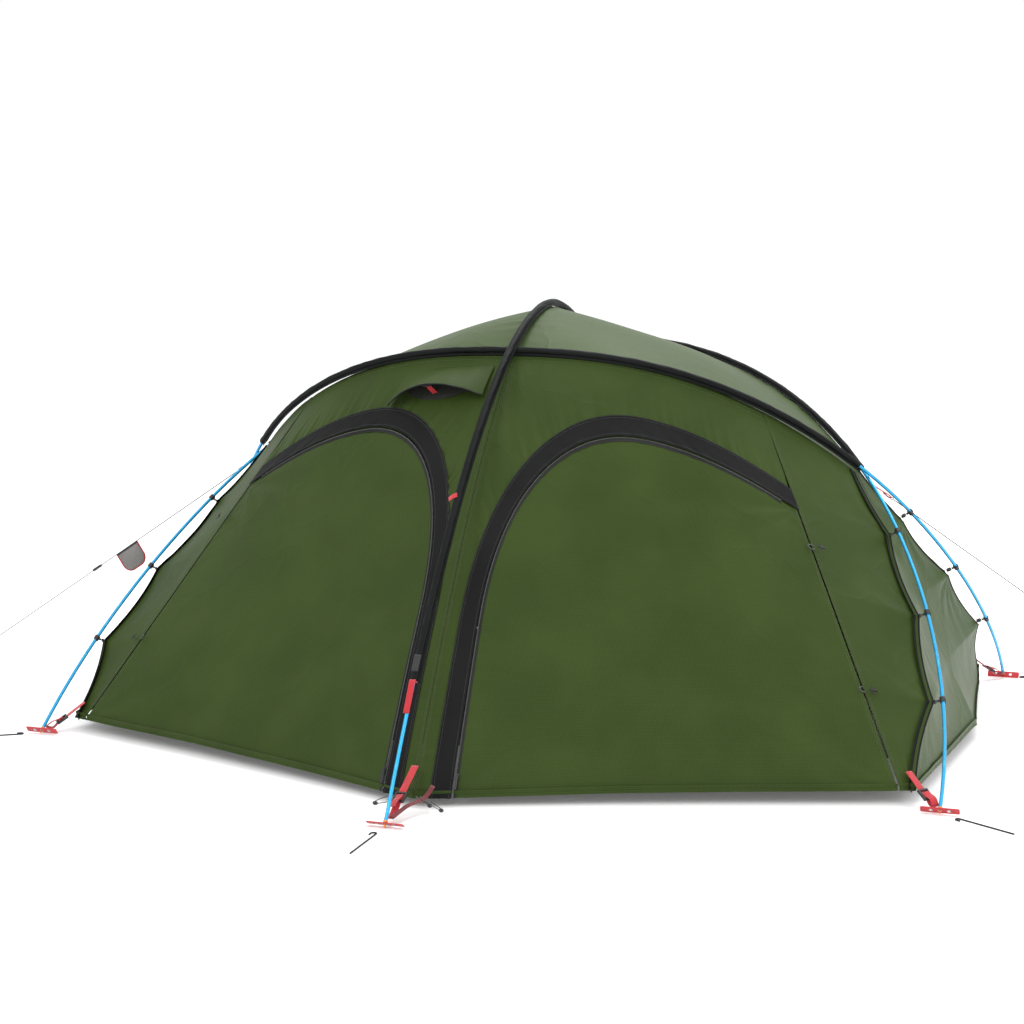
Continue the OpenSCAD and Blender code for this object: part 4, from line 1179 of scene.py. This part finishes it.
straps, tails = [], []
for i, foot in enumerate(FEET):
    o, x, down, y = foot_axes(foot)
    if i < 4:
        start = np.array([math.copysign(CORNER[0] + 0.008, o[0]), math.copysign(-CORNER[1] + 0.006, o[1]),
                          CORNER[2] + 0.016])
    else:
        start = np.array([0, math.copysign(1.130 + 0.022, o[1]), 0.080])
    flat = unit(np.array([start[0] - o[0], start[1] - o[1], 0]))
    end = o + 0.026 * flat + [0, 0, 0.002]
    mid = (start + end) / 2
    d = unit(start - end)
    n = unit(np.array([0, 0, 1.0]) - d[2] * d)
    loop = o - down * 0.004 + flat * 0.006
    straps.append(ribbon(f"s{i}", bend([loop, end - 0.004 * n, mid - d * 0.017 - n * 0.0015,
                                        mid - d * 0.004 + n * 0.0030,
                                        mid + d * 0.002 + n * 0.0035]), n, 0.019, 0.0016, red_webbing))
    straps.append(ribbon(f"t{i}", bend([mid - d * 0.0090 - n * 0.0008, mid + d * 0.004 - n * 0.0030,
                                        mid + d * 0.017 - n * 0.001,
                                        start - d * 0.004, start + d * 0.020 + n * 0.001,
                                        start + d * 0.045 + n * 0.002]), n, 0.019, 0.0016, red_webbing))
    tails.append(ribbon(f"u{i}", bend([mid + d * 0.004 + n * 0.0048, mid - d * 0.008 + n * 0.0065,
                                       mid - d * 0.024 + n * 0.011,
                                       mid - d * 0.045 + n * 0.008 + x * 0.004]), n + 0.3 * x, 0.019,
                                       0.0016, red_webbing))
join("foot_strap_webbing", straps, "root", "webbing", ["foot_straps"])
join("foot_strap_tails", tails, "root", "webbing")
for end, sy in (("front", -1), ("rear", 1)):
    foot = FEET[4 if sy < 0 else 5][0]
    brace = bend([foot + [0.010, -0.010 * sy, 0.004], foot + [0.026, -0.070 * sy, 0.018],
                  [0.050, sy * 1.160, 0.044],
                  [0.058, sy * 1.140, 0.062]], 22)
    ribbon(f"foot_brace_{end}", brace, [0.3, sy * 0.5, 1.0], 0.012, 0.0014, dark_red, "root", "webbing")

tabs = []
CLIP_WALL, EYE, RING, RING_WIRE = 0.003, 0.0026, 0.0032, 0.0009
RING_TOP = POLE_R + CLIP_WALL + EYE + 2 * RING + RING_WIRE
for k in (-1, 1):
    for e in (0, 1):
        for s in clip_s:
            a = np.interp(s if e == 0 else 1 - s, ARC_S, ARC_A)
            p, t = long_pole(a, k), unit(long_pole(a + 0.002, k) - long_pole(a - 0.002, k))
            inward = -outward(p, t)
            across = np.cross(t, inward)
            top = p + inward * (RING_TOP - 0.0002)
            path = bend([p + inward * 0.030 + t * 0.0010, p + inward * (RING_TOP + 0.001) + t * 0.0022,
                         p + inward * (RING_TOP - 0.0006), p + inward * (RING_TOP + 0.001) - t * 0.0022,
                         p + inward * 0.030 - t * 0.0010], 20)
            tabs.append(ribbon(f"c{len(tabs)}", path, np.cross(np.gradient(path, axis=0), across), 0.010,
                               0.0009,
                               black_webbing))
join("clip_tab_webbing", tabs, "root", "sleeve", ["clip_tabs"])

tabs = []
for sx in (LEFT, RIGHT):
    turn = np.array([sx, 1, 1])
    a, b = GUY_START - 0.072 * GUY_WAY, GUY_START - 0.0105 * GUY_WAY
    up = np.array([0, 1, 0])
    up = np.cross(GUY_WAY, up)
    path = bend([a, a + 0.5 * (b - a) + 0.001 * up, b + 0.0016 * up, b + 0.0040 * GUY_WAY,
                 b - 0.0016 * up, a + 0.6 * (b - a) - 0.001 * up], 26)
    tabs.append(ribbon(f"g{sx}", path * turn, np.cross(np.gradient(path * turn, axis=0), [0, 1, 0]),
                       0.015, 0.0012,
                       red_webbing))
    turns = np.linspace(0, 2 * math.pi, 40, endpoint=False)[:, None]
    ring = GUY_START - 0.005 * GUY_WAY + 0.0034 * (np.cos(turns) * GUY_WAY + np.sin(turns) * up)
    loop = tube(f"guy_ring_{'left' if sx < 0 else 'right'}", ring * turn, 0.0009, black_metal, 10,
                closed=True)
    hand_over(loop, "root", "steel", "guy_tabs")
join("guy_tab_webbing", tabs, "root", "webbing", ["guy_tabs"])


# ---------------------------------------------------------------- vents
# A stiffened hood of fly cloth stands open over a mesh window beside the cross pole's tunnel.
# A red webbing prop with a black toggle holds it up.
def hood_grid(rows=26, cols=60):
    j, i = np.meshgrid(np.linspace(0, 1, rows), np.linspace(0, 1, cols), indexing="ij")
    u, v = 0.06 + 0.38 * i, 0.945 - 0.115 * j
    rise = 0.004 + 0.065 * j * np.sin(math.pi * (0.06 + 0.88 * i))
    return raised(porch(u, v), rise)


def mesh_material(name, colour, pitch, cover):
    """Knitted mesh: threads round open holes that let the light through."""
    m = material(name, colour, 0.7, Sheen_Weight=0.2)
    t = m.node_tree
    p = t.nodes["Principled BSDF"]
    uv = node(t, "ShaderNodeUVMap", uv_map="cloth")
    sep = t.nodes.new("ShaderNodeSeparateXYZ")
    t.links.new(uv.outputs[0], sep.inputs[0])
    bars = [math_node(t, "ABSOLUTE", math_node(t, "SINE",
                                               math_node(t, "MULTIPLY", sep.outputs[i], math.pi / pitch)))
            for i in (0, 1)]
    hole = math_node(t, "GREATER_THAN", math_node(t, "MINIMUM", bars[0], bars[1]), cover)
    clear = t.nodes.new("ShaderNodeBsdfTransparent")
    mix = t.nodes.new("ShaderNodeMixShader")
    noise = node(t, "ShaderNodeTexNoise", Scale=60.0)
    t.links.new(mix_colour(t, noise.outputs["Fac"], colour, tuple(c * 1.6 for c in colour)),
                p.inputs["Base Color"])
    t.links.new(hole, mix.inputs[0])
    t.links.new(p.outputs[0], mix.inputs[1])
    t.links.new(clear.outputs[0], mix.inputs[2])
    t.links.new(mix.outputs[0], t.nodes["Material Output"].inputs["Surface"])
    bump = node(t, "ShaderNodeBump", Strength=0.5, Distance=0.0003)
    t.links.new(math_node(t, "MINIMUM", bars[0], bars[1]), bump.inputs["Height"])
    t.links.new(bump.outputs[0], p.inputs["Normal"])
    return m


vent_dark = cloth_material("vent mesh black", (0.006, 0.007, 0.006), (0.012, 0.013, 0.011), 0.8,
                           ripstop=0.003, grid_pale=0.12, crease=0.15)
for end, side in (("front", "front_left"), ("rear", "rear_right")):
    sign = SIDES[side]
    turn = np.array([sign[0], sign[1], 1.0])
    grid = hood_grid()
    s = lengths(grid, 1)
    shaped = raised(grid, sines(s, 151, ((0.06, 0.0007), (0.11, 0.0009))) * np.linspace(0, 1,
        len(grid))[:, None] ** 0.5)
    ob = cloth(f"vent_hood_{end}_cloth", shaped, fly_green, 0.0009, sign=sign)
    declare_cloth(ob, f"vent_hood_{end}", "fly", [f"vent_hood_{end}"])
    brim = shaped[-1] + 0.0002 * unit(shaped[-1] - MIDDLE)
    rim = tube(f"vent_hood_{end}_brim", brim * turn, 0.0020, piping_black, 8)
    hand_over(rim, f"vent_hood_{end}", "sleeve")
    up, down = shifted(shaped[-1], shaped[-8], 0.008), shifted(shaped[-1], shaped[-8], 0.013)
    grow(f"vent_hood_{end}_stitching", [(p + 0.0004 * unit(p - MIDDLE)) * turn for p in (up, down)],
         green_thread,
         f"vent_hood_{end}", "fly", Seed=4)
    j, i = np.meshgrid(np.linspace(0, 1, 12), np.linspace(0, 1, 40), indexing="ij")
    window = raised(porch(0.09 + 0.32 * i, 0.935 - 0.095 * j * np.sin(math.pi * (0.1 + 0.8 * i)) ** 0.5),
                    0.0030 + 0 * i)
    patch = cloth(f"vent_window_{end}", window, vent_dark, 0.0004, sign=sign)
    declare_cloth(patch, "root", "mesh")
    foot = raised(porch(np.array(0.27), np.array(0.862)), 0.0035)
    tip = shaped[-6, 33]
    tip = tip - 0.004 * unit(tip - MIDDLE)
    path = bend([foot - 0.012 * unit(tip - foot), foot, foot + (tip - foot) * 0.5 + [0.002, 0, 0], tip], 18)
    ribbon(f"vent_prop_{end}", path * turn, np.array([0.2, -1, 0.3]) * turn, 0.014, 0.0016, red_webbing,
           f"vent_hood_{end}", "webbing")
    pin = bend([tip + [-0.013, 0.002, 0], tip + [0, -0.001, -0.001], tip + [0.013, 0.002, 0]], 12) + [0,
        0, -0.009]
    toggle = tube(f"vent_toggle_{end}", pin * turn,
                  0.0028 * np.sin(np.linspace(0.5, math.pi - 0.5, 12)) ** 0.4, black_plastic, 14)
    hand_over(toggle, f"vent_hood_{end}", "hardware")


# ---------------------------------------------------------------- pouch on the left guyline
# A flat bag of grey mesh with red binding hangs on the line, with the spare cord coiled in it.
POUCH = GUY_START + (GUY_END - GUY_START) * 0.4 - [0, 0, 0.00275]
up = np.array([0, 0, 1.0])
down = -unit(up - (up @ GUY_WAY) * GUY_WAY)


def pouch_point(a, b, out):
    """a runs along the guyline, b down from it, and out is across the bag."""
    return (POUCH + a * GUY_WAY + b * down + out * np.array([0, 1.0, 0])) * [-1, 1, 1]


def pouch_outline(n=64):
    half, deep, r = 0.0425, 0.068, 0.028
    pts = [(-half, 0.0), (-half, deep - r)]
    pts += [(-half + r - r * math.cos(q), deep - r + r * math.sin(q)) for q in np.linspace(0, math.pi / 2,
        12)[1:]]
    pts += [(half - r + r * math.sin(q), deep - r + r * math.cos(q)) for q in np.linspace(0, math.pi / 2, 12)]
    pts += [(half, 0.0)]
    pts = np.array(pts)
    s = run_of(pts)
    x = np.linspace(0, s[-1], n)
    return np.stack([np.interp(x, s, pts[:, 0]), np.interp(x, s, pts[:, 1])], 1)


pouch_mesh = cloth_material("pouch mesh", (0.115, 0.105, 0.105), (0.16, 0.15, 0.15), 0.7, ripstop=0.0022,
                            grid_pale=0.35, crease=0.2)
outline = pouch_outline()
centre = np.array([0.0, 0.033])
rings = 14
verts, faces = [], []
for face_side in (1, -1):
    base = len(verts)
    for q in range(rings + 1):
        g = q / rings
        for a, b in centre + (outline - centre) * g:
            puff = 0.0066 * math.cos(g * math.pi / 2) ** 0.6 + 0.0007 * math.sin(40 * a
                + 3) * math.sin(55 * b) + 0.0004
            verts.append(pouch_point(a, b, face_side * puff * min(1.0, 0.25 + b / 0.03)))
    m = len(outline)
    for q in range(rings):
        for k in range(m):
            f = (base + q * m + k, base + q * m + (k + 1) % m, base + (q + 1) * m + (k + 1) % m,
                 base + (q + 1) * m + k)
            faces.append(f if face_side > 0 else f[::-1])
m, second = len(outline), (rings + 1) * len(outline)
for k in range(m):
    faces.append((rings * m + k, rings * m + (k + 1) % m, second + rings * m + (k + 1) % m,
                  second + rings * m + k))
pouch = mesh_object("guy_pouch_bag", verts, faces, pouch_mesh)
bm = bmesh.new()
bm.from_mesh(pouch.data)
bmesh.ops.remove_doubles(bm, verts=bm.verts, dist=1e-6)
bmesh.ops.recalc_face_normals(bm, faces=bm.faces)
uv = bm.loops.layers.uv.new("cloth")
for f in bm.faces:
    f.smooth = True
    for l in f.loops:
        d = np.array(l.vert.co) * [-1, 1, 1] - POUCH
        l[uv].uv = (float(d @ GUY_WAY), float(d @ down))
bm.to_mesh(pouch.data)
bm.free()
hand_over(pouch, "guy_pouch", "mesh", "guy_pouch")
edge = np.array([pouch_point(a, b, 0) for a, b in outline])
ribbon("guy_pouch_binding", edge, [0, 1.0, 0], 0.0055, 0.0026, red_webbing, "guy_pouch", "webbing")
top = np.array([pouch_point(a, 0.0005, 0) for a in np.linspace(-0.044, 0.044, 30)])
ribbon("guy_pouch_top", top, [0, 1.0, 0], 0.0075, 0.0036, black_webbing, "guy_pouch", "webbing")
grow("guy_pouch_stitching", [np.array([pouch_point(a * 0.955, b * 0.97 + 0.002, f * 0.0024) for a,
                                       b in outline]) for f in (1, -1)],
     dark_thread, "guy_pouch", "mesh", Pitch=0.003, Length=0.0022, Radius=0.0003)


# ---------------------------------------------------------------- sleeve ends, ties and cord loops
# The cross pole leaves its tunnel through a red webbing hook. Elastic loops with toggles tie
# back a rolled door, and thin black cord loops with cord locks hang at the front foot.
for end, sy in (("front", -1), ("rear", 1)):
    turn = np.array([1.0, -sy, 1.0])
    a = np.interp(np.array([0.098, 0.090, 0.082, 0.074]), ARCH_S, ARCH_Y)
    p = arch(a)
    n = outward(p, unit(np.gradient(p, axis=0)))
    strap = bend([p[0] - 0.010 * n[0], p[0] + 0.0075 * n[0], p[1] + 0.0085 * n[1], p[2] + 0.0075 * n[2],
                  p[3] + 0.0065 * n[3]], 26)
    ribbon(f"pole_hook_{end}", strap * turn, unit(np.array([0, -1.0, 0.5])) * turn, 0.016, 0.0018,
           red_webbing, "root", "webbing")
    q = arch(np.interp(np.array([0.116, 0.110, 0.104]), ARCH_S, ARCH_Y))
    m = outward(q, unit(np.gradient(q, axis=0)))
    ribbon(f"sleeve_mouth_{end}", bend(q + 0.0098 * m, 14) * turn, m[1] * turn, 0.018, 0.0016,
           black_webbing, "root", "webbing")
    lug = arch(np.array([-0.791, -0.770]))
    w = outward(lug, unit(np.gradient(lug, axis=0))[0] + 0 * lug)
    flag = bend([lug[0] + 0.0095 * w[0], lug[0] + 0.0098 * w[0] + [-0.010, 0, -0.004],
                 lug[0] + 0.004 * w[0] + [-0.024, 0, -0.010]], 14)
    ribbon(f"sleeve_tab_{end}", flag * turn, w[0] * turn, 0.014, 0.0016, red_webbing, "root", "webbing")
elastic = braid_material("black elastic cord", (0.015, 0.015, 0.016), (0.05, 0.05, 0.05), 0.003)
for side, sign in SIDES.items():
    turn = np.array([sign[0], sign[1], 1.0])
    for k, v in enumerate((0.62, 0.25)):
        c = raised(HINGE_FOOT + (HINGE_TOP - HINGE_FOOT) * v + [0.021, 0, 0], 0.007)
        along = unit(HINGE_TOP - HINGE_FOOT)
        out = unit(c - MIDDLE)
        across = unit(np.cross(along, out))
        a = np.linspace(0, 2 * math.pi, 36, endpoint=False)[:, None]
        loop = c + [-0.027, 0, 0] + 0.014 * np.cos(a) * across + 0.007 * np.sin(a) * along
        ob = tube(f"tie_loop_{side}_{k}", loop * turn, 0.0014, elastic, 8, closed=True)
        hand_over(ob, "root", "elastic")
for k, (cx, size, tilt) in enumerate(((-0.060, 0.045, 0.5), (0.066, 0.050, -0.4), (0.035, 0.034, -0.2))):
    a = np.linspace(-0.35, 2 * math.pi - 0.9, 60)[:, None]
    top = np.array([cx * 0.45, -1.140, 0.030])
    loop = top + size * ((1 - np.cos(a)) * [cx / abs(cx) * 0.62, -0.42, -0.15] + np.sin(a) * [0.25 * tilt,
        -0.62, 0.30])
    loop[:, 2] = np.maximum(loop[:, 2], 0.0016)
    ob = tube(f"cord_loop_{k}", loop, 0.0011, elastic, 8)
    hand_over(ob, "root", "elastic")
    knob = loop[38]
    d = unit(loop[40] - loop[36])
    path = np.array([knob + d * z for z in np.linspace(-0.009, 0.009, 14)])
    lock = tube(f"cord_lock_{k}", path, 0.0052 * np.sin(np.linspace(0.45, math.pi - 0.45, 14)) ** 0.35,
                black_plastic, 16)
    hand_over(lock, "root", "hardware")


# ---------------------------------------------------------------- inner tent
# Under the fly hangs a breathable inner tent: a waterproof tub floor, walls of pale cloth
# drawn up to the roof, and a zipped door of mesh to each porch.
FLOOR = [(0.102, 1.100, 1.010, 0.540), (0.361103, 0.990, 0.858, 0.432), (0.620205, 0.847, 0.660, 0.324),
         (0.849645, 0.638, 0.462, 0.1998), (1.00021, 0.462, 0.363, 0.0918), (1.0504, 0.396, 0.341, 0.002)]
DOOR_W = 0.280
inner_pale = cloth_material("inner tent cloth", (0.60, 0.57, 0.46), (0.66, 0.63, 0.53), 0.7,
                            ripstop=0.008, grid_pale=0.15, creases=6.0)
tub_grey = cloth_material("coated floor", (0.055, 0.056, 0.060), (0.070, 0.071, 0.076), 0.38,
                          ripstop=0.010, grid_pale=0.05)
door_mesh = mesh_material("door mesh", (0.03, 0.03, 0.03), 0.0016, 0.55)


def level(z):
    """The inner tent's plan at a height: half length, half length of its long sides, half width."""
    t = np.array(FLOOR)
    return [np.interp(z, t[:, 0], t[:, k]) for k in (1, 2, 3)]


def draped_side(rows=60, part=18):
    z = np.linspace(FLOOR[0][0], FLOOR[-1][0], rows)
    grid = []
    for h in z:
        a, b, w = level(h)
        corners = [(DOOR_W, -w), (b, -w), (a, 0), (b, w), (DOOR_W, w)]
        line = [np.array(corners[k]) + (np.array(corners[k + 1]) - corners[k]) * q / part
                for k in range(4) for q in range(part)] + [np.array(corners[-1])]
        grid.append([(x, y, h) for x, y in line])
    return np.array(grid)


for side, sx in (("left", LEFT), ("right", RIGHT)):
    flat = draped_side()
    i, j = np.meshgrid(np.linspace(0, 1, flat.shape[0]), np.linspace(0, 1, flat.shape[1]), indexing="ij")
    edge = np.minimum(np.minimum(i, 1 - i) * 8, np.minimum(j, 1 - j) * 12)
    sag = np.minimum(1, edge) * (swell(flat, 161, 0.35, 0.004) - 0.010 * np.sin(math.pi * i))
    inward = unit(flat - [0, 0, 0.3])
    shaped = flat + sag[..., None] * inward
    ob = cloth(f"inner_wall_{side}", shaped, inner_pale, sign=(sx, 1))
    declare_cloth(ob, "root", "inner", ["inner_canopy"])
top = np.array(FLOOR)[2:]
half = [np.interp(np.linspace(0, 3, 28), range(4), top[:, k]) for k in (3, 0)]
line = [(w, z) for w, z in zip(*half)] + [(-w, z) for w, z in zip(half[0][::-1], half[1][::-1])]
flat = np.array([[(x, w, z) for w, z in line] for x in np.linspace(-DOOR_W + 0.0008, DOOR_W - 0.0008, 30)])
sag = swell(flat, 163, 0.3, 0.002) * np.sin(np.linspace(0, math.pi, 30))[:, None] - 0.002
ob = cloth("inner_roof", flat + sag[..., None] * unit(flat - [0, 0, 0.3]), inner_pale)
declare_cloth(ob, "root", "inner", ["inner_canopy"])
for end, sy in (("front", 1), ("rear", -1)):
    z = np.linspace(FLOOR[0][0] + 0.003, FLOOR[2][0] - 0.004, 40)
    x = np.linspace(-DOOR_W + 0.004, DOOR_W - 0.004, 44)
    w = np.array([level(h)[2] for h in z])
    flat = np.stack([np.broadcast_to(x, (40, 44)), -np.broadcast_to(w[:, None], (40, 44)),
                     np.broadcast_to(z[:, None], (40, 44))], -1)
    i, j = np.meshgrid(np.linspace(0, 1, 40), np.linspace(0, 1, 44), indexing="ij")
    free = np.minimum(1, np.minimum(np.minimum(i, 1 - i), np.minimum(j, 1 - j)) * 10)
    shaped = flat + (free * swell(flat, 165, 0.25, 0.002))[..., None] * [0, -1, 0.3]
    ob = cloth(f"inner_door_{end}_mesh", shaped, door_mesh, 0.0005, sign=(1, sy))
    declare_cloth(ob, f"inner_door_{end}", "mesh", [f"inner_door_{end}"])
    turn = np.array([1.0, sy, 1.0])
    border = np.concatenate([shaped[0, :], shaped[1:, -1], shaped[-1, -2::-1], shaped[-2:0:-1, 0]])
    near = shifted(border, shaped[20, 22], 0.009) + [0, -0.0006, 0]
    ribbon(f"inner_door_{end}_zip", np.concatenate([near, near[:1]]) * turn,
           np.array([0, -1, 0.4]) * turn, 0.016, 0.0012,
                  zip_black, f"inner_door_{end}", "zip")
tub = 0.101
loops = []
for z, k, q in ((0.0004, 1.0, 1.0), (tub, 1.0, 1.0), (tub, 0.9985, 0.997), (0.0016, 0.9985, 0.997)):
    a, b, w = FLOOR[0][1:]
    corners = np.array([(-a, 0), (-b, -w), (b, -w), (a, 0), (b, w), (-b, w)]) * [k, q]
    line = [corners[c] + (corners[(c + 1) % 6] - corners[c]) * h / 24 for c in range(6) for h in range(24)]
    loops.append([(x, y, z) for x, y in line])
loops = np.array(loops)
m = loops.shape[1]
wave = sines(np.arange(m) * 0.04, 171, ((0.35, 0.0015), (0.6, 0.002)))
for r in (1, 2):
    loops[r, :, 1] -= np.sign(loops[r, :, 1]) * np.abs(wave)
    loops[r, :, 2] += 0.001 * np.sin(np.arange(m) * 0.7) - 0.001
verts = loops.reshape(-1, 3)
faces = [(r * m + k, r * m + (k + 1) % m, (r + 1) * m + (k + 1) % m,
          (r + 1) * m + k) for r in range(3) for k in range(m)]
faces += [tuple(range(m - 1, -1, -1)), tuple(3 * m + k for k in range(m))]
tub_floor = mesh_object("inner_tub", verts, faces, tub_grey, smooth=False)
bm = bmesh.new()
bm.from_mesh(tub_floor.data)
bmesh.ops.recalc_face_normals(bm, faces=bm.faces)
uv = bm.loops.layers.uv.new("cloth")
for f in bm.faces:
    for l in f.loops:
        l[uv].uv = (l.vert.co.x, l.vert.co.y) if abs(f.normal.z) > 0.5 else (l.vert.co.x + l.vert.co.y,
            l.vert.co.z)
bm.to_mesh(tub_floor.data)
bm.free()
hand_over(tub_floor, "root", "floor", "inner_floor")


# ---------------------------------------------------------------- studio
# A seamless pale floor under even white light, with large soft lamps from the front and above.
studio_white = material("studio white", (0.94, 0.94, 0.94), 0.9, Emission_Color=(1, 1, 1, 1),
                        Emission_Strength=0.10)
floor = mesh_object("studio_floor", [(-30, -30, 0), (30, -30, 0), (30, 30, 0), (-30, 30, 0)], [(0, 1, 2, 3)],
                    studio_white, smooth=False)
world = bpy.data.worlds.new("studio")
bpy.context.scene.world = world
world.use_nodes = True
world.node_tree.nodes["Background"].inputs[0].default_value = (1, 1, 1, 1)
world.node_tree.nodes["Background"].inputs[1].default_value = 1.0
for name, place, aim, size, power in (("key", (-1.5, -5.5, 5.0), (0, 0, 0.4), 4.0, 150),
                                      ("fill", (5.5, -1.0, 3.5), (0, 0, 0.4), 4.0, 90),
                                      ("top", (0.8, 2.5, 6.0), (0, 0, 0.3), 5.0, 260)):
    lamp = bpy.data.objects.new(name, bpy.data.lights.new(name, "AREA"))
    lamp.data.size = size
    lamp.data.energy = power
    lamp.location = place
    lamp.rotation_euler = (Vector(aim) - Vector(place)).to_track_quat("-Z", "Y").to_euler()
    bpy.context.scene.collection.objects.link(lamp)
bpy.context.scene.view_settings.view_transform = "Standard"
